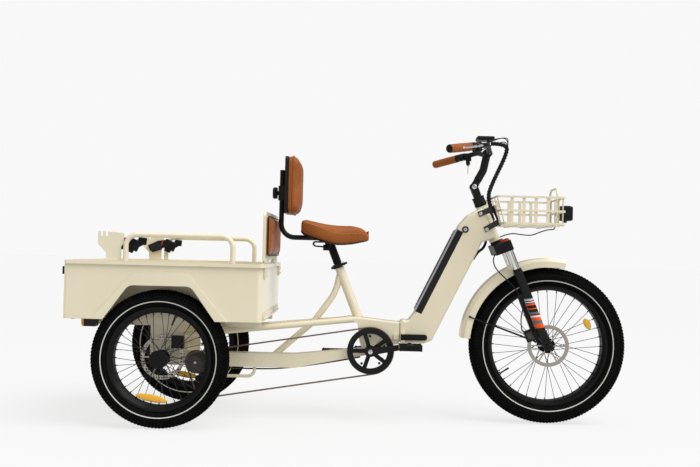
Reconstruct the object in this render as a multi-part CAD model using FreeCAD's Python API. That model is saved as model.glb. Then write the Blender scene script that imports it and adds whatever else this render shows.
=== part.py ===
import FreeCAD
import Part
import math
import os

# Folding cargo tricycle. Sizes are in millimetres. X runs forward from the rear axle,
# Y to the rider's left and Z up from the floor; ORIGIN_X then centres the part on its length.

# Wheels
WHEELBASE = 1618.0
TRACK = 700.0
REAR_TYRE_R = 278.0
REAR_TYRE_W = 88.0
REAR_BEAD_R = 203.0
REAR_RIM_W = 62.0
REAR_RIM_DEPTH = 17.5
FRONT_TYRE_R = 339.0
FRONT_TYRE_W = 100.0
FRONT_BEAD_R = 253.5
FRONT_RIM_W = 76.0
FRONT_RIM_DEPTH = 13.5
TYRE_WALL = 8.0
RIM_FLANGE_H = 6.0
RIM_FLANGE_T = 3.0
SPOKE_COUNT = 36
SPOKE_R = 1.2
SPOKE_LEAN = 38.0
HUB_FLANGE_R = 34.0
HUB_FLANGE_SET = 26.0
HUB_FLANGE_T = 3.0
HUB_BARREL_R = 20.0
HUB_INNER = 45.0
HUB_DOME_R = 37.0
HUB_DOME_END = 52.0
ROTOR_R = 90.0
ROTOR_BAND = 16.0
ROTOR_T = 2.0
ROTOR_ARMS = 6
REAR_AXLE_R = 10.0
FRONT_AXLE_R = 6.0

# Fits
RUN = 0.05
CLEAR = 0.3

# Cargo box
BOX_REAR = -374.0
BOX_FRONT = 408.0
BOX_HALF = 402.0
BOX_BASE = 435.0
BOX_TOP = 667.0
BOX_SHEET = 4.0
BOX_CORNER = 22.0
LIP_H = 15.0
LIP_OUT = 8.0
LIP_IN = 16.0
ARCH_TOP_HALF = 124.0
ARCH_FOOT_HALF = 223.0
ARCH_RISE = 137.0
ARCH_CORNER = 40.0
FLARE_W = 48.0
FLARE_T = 5.0
WELL_ROOM = 32.0
GATE_T = 6.0
GATE_HINGE_R = 5.0
LATCH_R = 13.0
LATCH_H = 15.0
LATCH_Z = 625.0

# Guard rails and belt plates
RAIL_R = 10.5
RAIL_REAR = -139.0
RAIL_FRONT = 287.0
RAIL_TOP = 784.0
RAIL_BEND = 45.0
BELT_PLATE_T = 5.0
BELT_PLATE_REAR = -253.0
BELT_W = 38.0
BELT_T = 3.0
BUCKLE_L = 62.0

# Fold-down seat panel
PANEL_TOP = 883.0
PANEL_HALF = 290.0
PANEL_T = 12.0
PANEL_HINGE_R = 7.0
PANEL_PAD_HALF = 266.0
PANEL_PAD_BASE = 700.0
PANEL_PAD_TOP = 866.0
PANEL_PAD_T = 18.0

# Rear subframe and stays
CARRIER_Y = 262.0
CARRIER_W = 30.0
CARRIER_H = 30.0
CROSS_X = 250.0
HOUSING_R = 20.0
PLATE_T = 8.0
CENTRE_PLATE_Y = 110.0
CALIPER_L = 50.0
STAY_R = 13.0
STAY_REAR_X = 30.0
STAY_FRONT_Y = 34.0
LOWER_BEAM_H = 61.0
LOWER_BEAM_HALF = 28.0
LOWER_BEAM_Z = 214.0
LOWER_BEND_X = 519.0
BEAM_CABLE_R = 2.6
BEAM_CABLE_BEND = 400.0
BEAM_CABLE_DROP = 8.0
BEAM_CABLE_SAG_X = 290.0
BEAM_CABLE_END = (42.0, 59.0)
STRUT_R = 14.0
STRUT_DOWN = 34.5
STRUT_KNEE = (20.0, 95.0)
STRUT_ELBOW_X = 600.0
STRUT_FOOT_X = 418.0
STRUT_BEND = 200.0
STAY_Z = 353.0
LOOP_R = 7.0
LOOP_REAR = 150.0
LOOP_FRONT = 345.0
LOOP_DROP = 42.0
LOOP_BEND = 30.0
LAMP_Y = 330.0
LAMP_W = 46.0

# Seat tube, bottom bracket and main beam
CRANK_X = 848.0
CRANK_Z = 299.0
SEAT_DEG = 21.9
SEAT_TUBE_R = 20.0
SEAT_TUBE_L = 402.0
POST_R = 15.5
BEAM_HALF = 40.0
BEAM_BACK = 103.0
BEAM_DEEP = 27.0
BEAM_Z = 418.0
BEAM_KNEE_BACK = 34.0
BEAM_KNEE_Z = 441.0
BEAM_EDGE = 8.0
COLLAR_R = 26.0
COLLAR_H = 18.0
SEAT_PIVOT_F = 22.0
SEAT_LEVER_T = 8.0
SEAT_LEVER_L = 56.0
SEAT_PIN_R = 2.5
EAR_T = 3.5
SHELL_R = 28.0
SHELL_HALF = 44.0
SPINDLE_R = 8.0

# Fold hinge and latch
HINGE_AHEAD = 124.0
HINGE_Y = 52.0
HINGE_BASE = 332.0
HINGE_TOP = 425.0
HINGE_PIN_R = 6.0
KNUCKLE_R = 11.0
LATCH_PIN_R = 4.0
LATCH_LEVER_L = 104.0
LATCH_LOW = 350.0
LATCH_HIGH = 375.0
LATCH_EYE_R = 9.0
LATCH_EAR = 8.0

# Drive
CHAIN_Y = -55.0
CHAIN_W = 8.0
CHAIN_T = 7.0
RING_R = 97.0
COG_R = 40.0
COG_X = 95.0
COG_Z = 232.0
COG_AXLE_R = 6.0
PULLEY_R = 19.0
PULLEY_X = 125.0
PULLEY_Z = 100.0
CRANK_L = 170.0
CRANK_DEG = 10.0
ARM_Y = 86.0
ARM_T = 14.0
PEDAL_AXLE_R = 6.0
PEDAL_W = 92.0
PEDAL_L = 96.0
PEDAL_H = 24.0

# Front frame. Pairs are a distance and a height: ahead of the hinge for the foot and the
# saddle of the tube, and behind the front axle for its chin and brow
TUBE_HALF = 45.0
TUBE_FOOT = ((108.0, 334.0), (143.0, 349.0))
TUBE_CHIN = ((334.0, 696.0), (293.0, 783.0))
TUBE_BROW = ((360.0, 896.0), (395.0, 855.0))
TUBE_SADDLE = ((61.0, 463.0), (37.0, 432.0))
TUBE_LIP = (13.0, 14.0)
TUBE_EDGE = 12.0
BATTERY_T = 30.0
BATTERY_L = 400.0
BATTERY_START = 14.0
BATTERY_PROUD = 5.0
BATTERY_CORNER = 9.0
LOCK_BACK = 369.0
LOCK_Z = 835.0
LOCK_R = 14.0
LOCK_H = 4.0
HEAD_DEG = 22.5
AXIS_SET = 44.0
HEAD_R = 24.0
HEAD_BASE = 504.0
HEAD_TOP = 668.0
STEERER_R = 14.3
BASKET_BACK = 256.0
BASKET_L = 288.0
BASKET_TOP = 978.0
BASKET_BASE = 858.0
BASKET_HALF = 200.0
BASKET_TAPER = 34.0
BASKET_BAR = 5.0
BASKET_CORNER = 12.0
RING_H = 9.0
HOOP_RISE = 42.0
BRACKET_ALONG = (556.0, 628.0)
BRACKET_H = 24.0
BRACKET_T = 4.0
CLIP_UP = 12.0
LAMP_LUG = 6.0
LAMP_PIN_R = 3.0
LEAD_R = 2.5
LEAD_BEND = 6.0
LEAD_SAG = ((88.0, 32.0), (138.0, 39.0), (183.0, 42.0), (218.0, 26.0), (258.0, 13.0))
LEAD_END_DROP = 14.0
BUNDLE_R = 6.0
BUNDLE_BEND = 16.0
BUNDLE_ROUTE = ((330.0, 704.0), (310.0, 738.0), (278.0, 758.0), (272.0, 789.0))
SLAT_W = 13.0
SLAT_T = 3.0
LIGHT_W = 72.0
LIGHT_H = 64.0
LIGHT_L = 62.0

# Fork, fender and stem
LEG_Y = 78.0
LEG_SET = 10.0
LEG_R = 20.0
LEG_TOP = 352.0
STANCHION_R = 15.0
STANCHION_END = 239.0
FORK_TRAVEL = 45.0
CROWN_BASE = 446.0
CROWN_TOP = 490.0
CAP_H = 8.0
FENDER_R = 380.0
FENDER_HALF = 54.0
FENDER_T = 3.0
FENDER_SKIRT = 40.0
FENDER_CORNER = 14.0
FENDER_STAY_R = 2.5
FENDER_STAY_DEG = 161.0
FENDER_STAY_SET = 18.0
FENDER_FROM_DEG = 79.0
FENDER_SPAN_DEG = 97.0
ELBOW_ALONG = 759.0
STEM_R = 17.0
STEM_TONGUE = 13.0
STEM_EAR = 8.0
STEM_PIN_R = 6.0
STEM_EYE_R = 16.0
STEM_BEND_R = 40.0
STEM_BEND = (15.0, 74.0)

# Handlebar, with the middle of its clamp and the points that shape its left half,
# each given as its distance behind the front axle, across and up
BAR_R = 11.0
BAR_BEND = 60.0
BAR_BACK = 276.0
BAR_Z = 1172.0
BAR_MID_Y = 75.0
BAR_RISE_BACK = 296.0
BAR_RISE_Y = 164.0
BAR_RISE_Z = 1191.0
BAR_TIP_BACK = 476.0
BAR_TIP_Y = 350.0
BAR_TIP_Z = 1151.0
GRIP_R = 18.0
GRIP_L = 138.0
LEVER_T = 9.0
LEVER_PIN_R = 2.5
LEVER_EYE_R = 7.0
LEVER_REACH = 30.0
LEVER_TIP = 52.0
PERCH_S = 158.0
THROTTLE_W = 10.0
DISPLAY_Z = 1226.0
DISPLAY_T = 18.0
HARNESS_R = 9.0
HARNESS_BEND = 30.0
HARNESS_START = 16.0
HARNESS_TURN = 83.0
HARNESS_ROUTE = ((90.0, 8.0), (20.0, -142.0))
HARNESS_SET = 6.0
HARNESS_FOOT = 22.0

# Seat
SADDLE_REAR = 535.0
SADDLE_NOSE = 835.0
SADDLE_HALF = 122.0
SADDLE_TOP = 858.0
SADDLE_HOLLOW = 22.0
BACK_TUBE_R = 11.0
BACK_TUBE_BEND = 60.0
BACK_TUBE_X = 445.0
BACK_TUBE_TOP = 1078.0
BACK_TUBE_Z = 783.0
BACK_BASE = 882.0
BACK_TOP = 1134.0
BACK_HALF = 122.0
BACK_SHELL_X = 464.0
BACK_SHELL_T = 14.0
BACK_PAD_T = 50.0
KNOB_R = 25.0
MOUNT_HALF = 32.0
KNOB_Z = 976.0
POST_IN = 150.0
POST_TOP = 488.0
COLLAR_UP = 2.0
CLAMP_LAP = 4.0
CLAMP_X = 665.0
CLAMP_HALF = 22.0
SEAT_TRAVEL = 20.0
BELLOWS_RIBS = 7
BELLOWS_R = 23.0
BACK_CORNER = 26.0

# Places that follow from the sizes above
BEAM_REAR = CRANK_X - BEAM_BACK
BEAM_KNEE_X = CRANK_X - BEAM_KNEE_BACK
HINGE_X = CRANK_X + HINGE_AHEAD
BASKET_REAR = WHEELBASE - BASKET_BACK
BASKET_FRONT = BASKET_REAR + BASKET_L
BAR_X = WHEELBASE - BAR_BACK
BAR_RISE_X = WHEELBASE - BAR_RISE_BACK
BAR_TIP_X = WHEELBASE - BAR_TIP_BACK
FRONT_AXLE = FreeCAD.Vector(WHEELBASE, 0, FRONT_TYRE_R)
LATCH_END = BOX_REAR - GATE_T - LATCH_H
ORIGIN_X = (WHEELBASE + FRONT_TYRE_R + LATCH_END) / 2
SIDES = (("left", 1), ("right", -1))
ARCH_TOP = BOX_BASE + ARCH_RISE
RAIL_Y = BOX_HALF - LIP_OUT / 2
PLATE_INNER = RAIL_Y - RAIL_R - CLEAR
GATE_AXIS_X = BOX_REAR
GATE_AXIS_Z = BOX_BASE - GATE_HINGE_R - 1.0
PANEL_AXIS_X = BOX_FRONT - GATE_T - PANEL_T / 6
PANEL_AXIS_Z = BOX_TOP + PANEL_HINGE_R + 1.0
SEAT_PIVOT_Y = -COLLAR_R - SEAT_LEVER_T / 2
KNUCKLE_H = (HINGE_TOP - HINGE_BASE - 2 * HINGE_PIN_R) / 3
LATCH_PIN_X = HINGE_X + LATCH_EYE_R + 7
LATCH_PIN_Y = -TUBE_HALF - LATCH_EYE_R - 4
CLIP_ALONG = BRACKET_ALONG[1] + CLIP_UP
LAMP_X = BASKET_FRONT + 9
LAMP_Z = (BASKET_TOP + BASKET_BASE) / 2 - 2


def v(x, y, z):
    return FreeCAD.Vector(x, y, z)


def save(name, *solids):
    """Write one node, moved so that the part is centred on its length."""
    shape = solids[0] if len(solids) == 1 else Part.makeCompound(list(solids))
    shape.translated(v(-ORIGIN_X, 0, 0)).exportStep(os.path.join("parts", name + ".step"))


def block(x0, x1, y0, y1, z0, z1):
    return Part.makeBox(x1 - x0, y1 - y0, z1 - z0, v(x0, y0, z0))


def rod(start, end, radius):
    return Part.makeCylinder(radius, (end - start).Length, start, end - start)


def sleeve(start, end, radius, bore):
    return rod(start, end, radius).cut(rod(start, end, bore))


def corner_arc(before, corner, after, bend):
    """Ends and middle of the arc of radius bend that rounds a corner."""
    inward = (before - corner).normalize()
    outward = (after - corner).normalize()
    half_turn = (math.pi - inward.getAngle(outward)) / 2
    reach = bend * math.tan(half_turn)
    middle = (inward + outward).normalize() * (bend / math.cos(half_turn) - bend)
    return corner + inward * reach, corner + middle, corner + outward * reach


def pipe(points, radius, bend):
    """Round bar along straight runs joined by tangent arcs."""
    edges = []
    here = points[0]
    for before, corner, after in zip(points, points[1:], points[2:]):
        start, middle, end = corner_arc(before, corner, after, bend)
        edges.append(Part.LineSegment(here, start).toShape())
        edges.append(Part.Arc(start, middle, end).toShape())
        here = end
    edges.append(Part.LineSegment(here, points[-1]).toShape())
    section = Part.Wire(Part.makeCircle(radius, points[0], points[1] - points[0]))
    return Part.Wire(edges).makePipeShell([section], True, False)


def slab(points, y0, y1):
    """Flat plate with its outline in the side view, from y0 to y1."""
    corners = [v(x, y0, z) for x, z in points]
    return Part.Face(Part.makePolygon(corners + corners[:1])).extrude(v(0, y1 - y0, 0))


def rounded_slab(points, y0, y1, bend):
    """As slab, with every corner of the outline rounded."""
    corners = [v(x, y0, z) for x, z in points]
    arcs = []
    for i, corner in enumerate(corners):
        after = corners[(i + 1) % len(corners)]
        arcs.append(corner_arc(corners[i - 1], corner, after, bend))
    edges = []
    for arc, following in zip(arcs, arcs[1:] + arcs[:1]):
        edges.append(Part.Arc(*arc).toShape())
        edges.append(Part.LineSegment(arc[2], following[0]).toShape())
    return Part.Face(Part.Wire(edges)).extrude(v(0, y1 - y0, 0))


def turned(profile, place, out=1):
    """Solid of revolution about the Y axis at place, from (radius, offset) points."""
    corners = [v(0, out * y, r) for r, y in profile]
    face = Part.Face(Part.makePolygon(corners + corners[:1]))
    return face.revolve(v(0, 0, 0), v(0, 1, 0), 360).translated(place)


def disc(place, radius, bore, y0, y1):
    return turned([(bore, y0), (radius, y0), (radius, y1), (bore, y1)], place)


def on_fork(shape):
    """Stand a shape, drawn with the steering axis upright, on the front axle."""
    turned_back = shape.rotated(v(0, 0, 0), v(0, 1, 0), -HEAD_DEG)
    return turned_back.translated(FRONT_AXLE)


def fork_point(forward, y, along):
    """World point from fork axes: ahead of the front axle, across, and up the fork."""
    lean = math.radians(HEAD_DEG)
    x = forward * math.cos(lean) - along * math.sin(lean)
    z = forward * math.sin(lean) + along * math.cos(lean)
    return FRONT_AXLE + v(x, y, z)


def seat_point(along, y=0.0):
    """World point on the seat tube's axis, measured up from the crank."""
    lean = math.radians(SEAT_DEG)
    return v(CRANK_X - along * math.sin(lean), y, CRANK_Z + along * math.cos(lean))


# Wheels

def tyre(outer_r, width, bead_r, rim_w):
    """Open ring whose beads stand between the flanges of the rim."""
    waist = (outer_r + bead_r) / 2
    seat = bead_r + CLEAR
    foot = rim_w / 2 - RIM_FLANGE_T - CLEAR
    ankle = bead_r + RIM_FLANGE_H + 1
    shoulder_drop = (outer_r - bead_r) / 6
    edges = []
    loops = []
    for wall in (0.0, TYRE_WALL):
        half = width / 2 - wall
        shoulder = half * 0.75
        crown = outer_r - wall
        low = crown - shoulder_drop
        step = foot - wall / 2
        profile = [(seat, -step), (ankle, -step), (waist, -half), (low, -shoulder), (crown, 0.0),
                   (low, shoulder), (waist, half), (ankle, step), (seat, step)]
        loops.append([v(0, y, r) for r, y in profile])
    for loop in loops:
        edges.append(Part.LineSegment(loop[0], loop[1]).toShape())
        for i in (1, 3, 5):
            edges.append(Part.Arc(*loop[i:i + 3]).toShape())
        edges.append(Part.LineSegment(loop[-2], loop[-1]).toShape())
    for end in (0, -1):
        edges.append(Part.LineSegment(loops[0][end], loops[1][end]).toShape())
    face = Part.Face(Part.Wire(Part.__sortEdges__(edges)))
    return face.revolve(v(0, 0, 0), v(0, 1, 0), 360)


def rim(bead_r, rim_w, depth):
    half = rim_w / 2
    floor = half - RIM_FLANGE_T
    top = bead_r + RIM_FLANGE_H
    inner = bead_r - depth
    narrow = half * 0.6
    profile = [(inner, -narrow), (bead_r - RIM_FLANGE_T, -half), (top, -half), (top, -floor),
               (bead_r, -floor), (bead_r, floor), (top, floor), (top, half),
               (bead_r - RIM_FLANGE_T, half), (inner, narrow)]
    return turned(profile, v(0, 0, 0))


def spokes(rim_inner_r):
    """Crossed spokes from the two hub flanges to the rim, each a solid of its own."""
    wires = []
    for i in range(SPOKE_COUNT):
        side = 1 if i % 2 else -1
        lean = 1 if (i // 2) % 2 else -1
        at_rim = math.radians(i * 360.0 / SPOKE_COUNT)
        at_hub = at_rim + lean * math.radians(SPOKE_LEAN)
        hub_r = HUB_FLANGE_R - 2 * HUB_FLANGE_T
        rim_r = rim_inner_r + RIM_FLANGE_T
        head_y = side * HUB_FLANGE_SET + lean * HUB_FLANGE_T / 2
        start = v(hub_r * math.cos(at_hub), head_y, hub_r * math.sin(at_hub))
        end = v(rim_r * math.cos(at_rim), side * RIM_FLANGE_T, rim_r * math.sin(at_rim))
        wires.append(rod(start, end, SPOKE_R))
    return Part.makeCompound(wires)


def rotor(bore, out):
    """Brake disc with straight arms, seated on the hub's inner end."""
    y0 = -HUB_INNER - ROTOR_T
    y1 = -HUB_INNER
    middle = v(0, 0, 0)
    arm = block(HUB_BARREL_R, ROTOR_R - ROTOR_BAND / 2, y0, y1, -HUB_FLANGE_T, HUB_FLANGE_T)
    shape = disc(middle, ROTOR_R, ROTOR_R - ROTOR_BAND, y0, y1)
    shape = shape.fuse(disc(middle, HUB_BARREL_R + HUB_FLANGE_T, bore, y0, y1))
    for i in range(ROTOR_ARMS):
        shape = shape.fuse(arm.rotated(middle, v(0, 1, 0), i * 360.0 / ROTOR_ARMS))
    if out < 0:
        shape = shape.mirror(middle, v(0, 1, 0))
    return shape


def hub_profile(bore):
    """Half section of a hub from its inner end to its outer flange."""
    inner = HUB_FLANGE_SET - HUB_FLANGE_T / 2
    outer = HUB_FLANGE_SET + HUB_FLANGE_T / 2
    return [(bore, -HUB_INNER), (HUB_BARREL_R, -HUB_INNER), (HUB_BARREL_R, -outer),
            (HUB_FLANGE_R, -outer), (HUB_FLANGE_R, -inner), (HUB_BARREL_R, -inner),
            (HUB_BARREL_R, inner), (HUB_FLANGE_R, inner), (HUB_FLANGE_R, outer)]


def rear_wheels():
    for side, out in SIDES:
        centre = v(0, out * TRACK / 2, REAR_TYRE_R)
        bore = REAR_AXLE_R + RUN
        dome = HUB_FLANGE_SET + 2 * HUB_FLANGE_T
        profile = hub_profile(bore) + [(HUB_DOME_R, dome), (HUB_DOME_R, HUB_INNER),
                                       (HUB_DOME_R / 2, HUB_DOME_END), (0.0, HUB_DOME_END),
                                       (0.0, HUB_INNER + CLEAR), (bore, HUB_INNER + CLEAR)]
        hub = turned(profile, v(0, 0, 0), out)
        inner_r = REAR_BEAD_R - REAR_RIM_DEPTH
        tyre_ring = tyre(REAR_TYRE_R, REAR_TYRE_W, REAR_BEAD_R, REAR_RIM_W)
        save("tyre_rear_" + side, tyre_ring.translated(centre))
        save("rim_rear_" + side, rim(REAR_BEAD_R, REAR_RIM_W, REAR_RIM_DEPTH).translated(centre))
        save("spokes_rear_" + side, spokes(inner_r).translated(centre))
        save("hub_rear_" + side, hub.translated(centre), rotor(bore, out).translated(centre))


def front_wheel():
    bore = FRONT_AXLE_R + RUN
    profile = hub_profile(bore) + [(HUB_BARREL_R, HUB_FLANGE_SET + HUB_FLANGE_T / 2),
                                   (HUB_BARREL_R, HUB_INNER), (bore, HUB_INNER)]
    hub = turned(profile, FRONT_AXLE)
    tyre_ring = tyre(FRONT_TYRE_R, FRONT_TYRE_W, FRONT_BEAD_R, FRONT_RIM_W)
    front_rim = rim(FRONT_BEAD_R, FRONT_RIM_W, FRONT_RIM_DEPTH)
    save("tyre_front", tyre_ring.translated(FRONT_AXLE))
    save("rim_front", front_rim.translated(FRONT_AXLE))
    save("spokes_front", spokes(FRONT_BEAD_R - FRONT_RIM_DEPTH).translated(FRONT_AXLE))
    save("hub_front", hub, rotor(bore, 1).translated(FRONT_AXLE))


# Cargo box, tailgate, rails, belts and seat panel

def trapezium(foot_half, top_half, base, top, drop):
    """Outline with level top and sloping sides, drawn on down past its base."""
    slope = (foot_half - top_half) / (top - base)
    low_half = foot_half + slope * drop
    return [(-low_half, base - drop), (-top_half, top), (top_half, top), (low_half, base - drop)]


def hinge_bar(x, z, y0, y1, radius, bore):
    if bore:
        return sleeve(v(x, y0, z), v(x, y1, z), radius, bore)
    return rod(v(x, y0, z), v(x, y1, z), radius)


def cargo_box():
    """Sheet tub, open behind, with wheel wells, arches, flares and a rolled lip."""
    outer = block(BOX_REAR, BOX_FRONT, -BOX_HALF, BOX_HALF, BOX_BASE, BOX_TOP)
    front_corners = [e for e in outer.Edges if e.CenterOfMass.x > BOX_FRONT - 1
                     and abs(e.CenterOfMass.y) > BOX_HALF - 1]
    outer = outer.makeFillet(BOX_CORNER, front_corners)
    room = block(BOX_REAR - 1, BOX_FRONT - BOX_SHEET, BOX_SHEET - BOX_HALF,
                 BOX_HALF - BOX_SHEET, BOX_BASE + BOX_SHEET, BOX_TOP + 1)
    room_corners = [e for e in room.Edges if e.CenterOfMass.x > BOX_FRONT - BOX_SHEET - 1
                    and abs(e.CenterOfMass.y) > BOX_HALF - BOX_SHEET - 1]
    tub = outer.cut(room.makeFillet(BOX_CORNER - BOX_SHEET, room_corners))
    reach = BOX_BASE - REAR_TYRE_R
    foot = math.sqrt(REAR_TYRE_R ** 2 - reach ** 2) + WELL_ROOM
    well_top = 2 * REAR_TYRE_R + WELL_ROOM
    well_flat = foot - (well_top - BOX_BASE) * ARCH_TOP_HALF / ARCH_FOOT_HALF * 1.3
    well_y = TRACK / 2 - REAR_TYRE_W / 2 - WELL_ROOM / 2
    wall = BOX_HALF - BOX_SHEET
    skin = BOX_SHEET
    for side, out in SIDES:
        shell = trapezium(foot + skin, well_flat + skin, BOX_BASE, well_top + skin, 0)
        space = trapezium(foot, well_flat, BOX_BASE, well_top, skin)
        arch = trapezium(ARCH_FOOT_HALF, ARCH_TOP_HALF, BOX_BASE, ARCH_TOP, 2 * ARCH_CORNER)
        flare = trapezium(ARCH_FOOT_HALF + FLARE_W, ARCH_TOP_HALF - FLARE_W / 4, BOX_BASE,
                          ARCH_TOP + FLARE_W, 2 * ARCH_CORNER)
        tub = tub.fuse(slab(shell, out * (well_y - skin), out * wall))
        band = rounded_slab(flare, out * wall, out * (BOX_HALF + FLARE_T), ARCH_CORNER)
        above = block(-BOX_HALF, BOX_HALF, -2 * BOX_HALF, 2 * BOX_HALF, BOX_BASE, BOX_TOP)
        tub = tub.fuse(band.common(above))
        tub = tub.cut(slab(space, out * well_y, out * wall))
        opening = rounded_slab(arch, out * (wall - 1), out * (BOX_HALF + FLARE_T + 1), ARCH_CORNER)
        tub = tub.cut(opening)
    lip = block(BOX_REAR, BOX_FRONT + LIP_OUT, -BOX_HALF - LIP_OUT, BOX_HALF + LIP_OUT,
                BOX_TOP - LIP_H, BOX_TOP)
    lip_edges = [e for e in lip.Edges if e.CenterOfMass.x > BOX_FRONT
                 and abs(e.CenterOfMass.y) > BOX_HALF]
    lip = lip.makeFillet(BOX_CORNER, lip_edges)
    hole = block(BOX_REAR - 1, BOX_FRONT - LIP_IN, LIP_IN - BOX_HALF, BOX_HALF - LIP_IN,
                 BOX_TOP - LIP_H - 1, BOX_TOP + 1)
    tub = tub.fuse(lip.cut(hole))
    gate_bar = hinge_bar(GATE_AXIS_X, GATE_AXIS_Z, CLEAR - BOX_HALF / 2, BOX_HALF / 2 - CLEAR,
                         GATE_HINGE_R, 0)
    gate_pin = hinge_bar(GATE_AXIS_X, GATE_AXIS_Z, -BOX_HALF * 0.75, BOX_HALF * 0.75,
                         GATE_HINGE_R / 2, 0)
    gate_tab = block(GATE_AXIS_X, GATE_AXIS_X + 2 * GATE_HINGE_R, CLEAR - BOX_HALF / 2,
                     BOX_HALF / 2 - CLEAR, GATE_AXIS_Z, BOX_BASE + BOX_SHEET / 2)
    tub = tub.fuse(gate_bar).fuse(gate_pin).fuse(gate_tab)
    for side, out in SIDES:
        y0, y1 = sorted((out * PANEL_HALF / 3, out * PANEL_HALF * 2 / 3))
        bar = hinge_bar(PANEL_AXIS_X, PANEL_AXIS_Z, y0, y1, PANEL_HINGE_R, 0)
        tab = block(PANEL_AXIS_X - PANEL_HINGE_R / 2, PANEL_AXIS_X + PANEL_HINGE_R / 2, y0, y1,
                    BOX_TOP - 1, PANEL_AXIS_Z)
        ends = sorted((out * PANEL_HALF / 3, out * (PANEL_HALF - PANEL_HINGE_R)))
        pin = hinge_bar(PANEL_AXIS_X, PANEL_AXIS_Z, ends[0], ends[1], PANEL_HINGE_R / 2, 0)
        tub = tub.fuse(bar).fuse(tab).fuse(pin)
    save("cargo_box", tub.removeSplitter())


def tailgate():
    """Rear drop panel with its hinge leaves and two turn latches."""
    outside = BOX_REAR - CLEAR - GATE_T
    panel = block(outside, BOX_REAR - CLEAR, -BOX_HALF, BOX_HALF, BOX_BASE, BOX_TOP)
    latch_y = BOX_HALF - 2 * LATCH_R
    for side, out in SIDES:
        y0, y1 = sorted((out * BOX_HALF / 2, out * BOX_HALF * 0.75))
        bore = GATE_HINGE_R / 2 + RUN
        leaf = block(outside, BOX_REAR - CLEAR, y0, y1, GATE_AXIS_Z, BOX_BASE)
        bar = hinge_bar(GATE_AXIS_X, GATE_AXIS_Z, y0, y1, GATE_HINGE_R, 0)
        hole = hinge_bar(GATE_AXIS_X, GATE_AXIS_Z, y0, y1, bore, 0)
        panel = panel.fuse(leaf).fuse(bar).cut(hole)
        shaft_r = LATCH_R / 3
        inside = v(BOX_REAR - CLEAR, out * latch_y, LATCH_Z)
        back = v(LATCH_END, out * latch_y, LATCH_Z)
        face = v(outside - CLEAR, out * latch_y, LATCH_Z)
        panel = panel.cut(rod(inside, back, shaft_r + RUN))
        neck = v(outside - LATCH_H / 2, out * latch_y, LATCH_Z)
        wing = block(LATCH_END, neck.x, out * latch_y - shaft_r, out * latch_y + shaft_r,
                     LATCH_Z - LATCH_R * 1.2, LATCH_Z + LATCH_R * 1.2)
        knob = rod(face, neck, LATCH_R).fuse(rod(inside, face, shaft_r)).fuse(wing)
        save("tailgate_latch_" + side, knob)
    save("tailgate", panel.removeSplitter())


def guard_rails():
    """Side hoops on the lip, and behind each a notched plate for the belt."""
    top = RAIL_TOP - RAIL_R
    front = RAIL_REAR - RAIL_R - CLEAR
    rear = BELT_PLATE_REAR
    slot = 10.0
    deep = RAIL_TOP - 18.0
    outline = [(rear, RAIL_TOP - 50), (rear, RAIL_TOP), (rear + slot, RAIL_TOP),
               (rear + slot, deep), (rear + 2 * slot, deep), (rear + 2 * slot, RAIL_TOP),
               (rear + 3 * slot, RAIL_TOP), (rear + 3 * slot, deep), (rear + 4 * slot, deep),
               (rear + 4 * slot, RAIL_TOP), (front, RAIL_TOP - 6), (front, RAIL_TOP - 46),
               (front - slot, RAIL_TOP - 60), (front - slot, BOX_TOP), (rear + 34, BOX_TOP),
               (rear + 34, RAIL_TOP - 84)]
    solids = []
    for side, out in SIDES:
        y = out * RAIL_Y
        solids.append(pipe([v(RAIL_REAR, y, BOX_TOP), v(RAIL_REAR, y, top), v(RAIL_FRONT, y, top),
                            v(RAIL_FRONT, y, BOX_TOP)], RAIL_R, RAIL_BEND))
        solids.append(slab(outline, out * PLATE_INNER, out * (PLATE_INNER + BELT_PLATE_T)))
    save("guard_rails", *solids)


def seat_belts():
    """Short webbing held on the inside of each plate, with its buckle."""
    solids = []
    x0 = BELT_PLATE_REAR + 30
    x1 = RAIL_REAR + 16
    z0 = RAIL_TOP - 14
    fall = 16.0
    strap = [(x0, z0), (x1, z0 - fall), (x1, z0 - fall - BELT_W), (x0, z0 - BELT_W)]
    reach = fall * BUCKLE_L / (x1 - x0)
    grow = 5.0
    low = z0 - fall - BELT_W - grow
    buckle = [(x1, z0 - fall + grow), (x1 + BUCKLE_L, z0 - fall + grow - reach),
              (x1 + BUCKLE_L, low - reach), (x1, low)]
    for side, out in SIDES:
        inner = PLATE_INNER - BELT_T
        solids.append(slab(strap, out * inner, out * PLATE_INNER))
        middle = PLATE_INNER - BELT_T / 2
        half = 3 * BELT_T
        solids.append(slab(buckle, out * (middle - 2 * half), out * (middle + BELT_T / 2)))
    save("seat_belts", *solids)


def rounded_frame(y_half, z0, z1, x, inset, corner):
    """Upright rounded rectangle at x, drawn in by inset, as a wire."""
    radius = corner - inset / 2
    corners = [v(x, -y_half + inset, z0 + inset), v(x, y_half - inset, z0 + inset),
               v(x, y_half - inset, z1 - inset), v(x, -y_half + inset, z1 - inset)]
    arcs = [corner_arc(corners[i - 1], c, corners[(i + 1) % 4], radius)
            for i, c in enumerate(corners)]
    edges = []
    for arc, following in zip(arcs, arcs[1:] + arcs[:1]):
        edges.append(Part.Arc(*arc).toShape())
        edges.append(Part.LineSegment(arc[2], following[0]).toShape())
    return Part.Wire(edges)


def cushion(y_half, z0, z1, x0, depth, corner):
    """Crowned pad on an upright board: tucked in at the board, full, then domed."""
    stages = ((0.0, 5.0), (0.25, 0.5), (0.55, 0.0), (0.8, 5.0), (0.94, 14.0), (1.0, 30.0))
    rings = [rounded_frame(y_half, z0, z1, x0 + share * depth, inset, corner)
             for share, inset in stages]
    return Part.makeLoft(rings, True, True)


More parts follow.
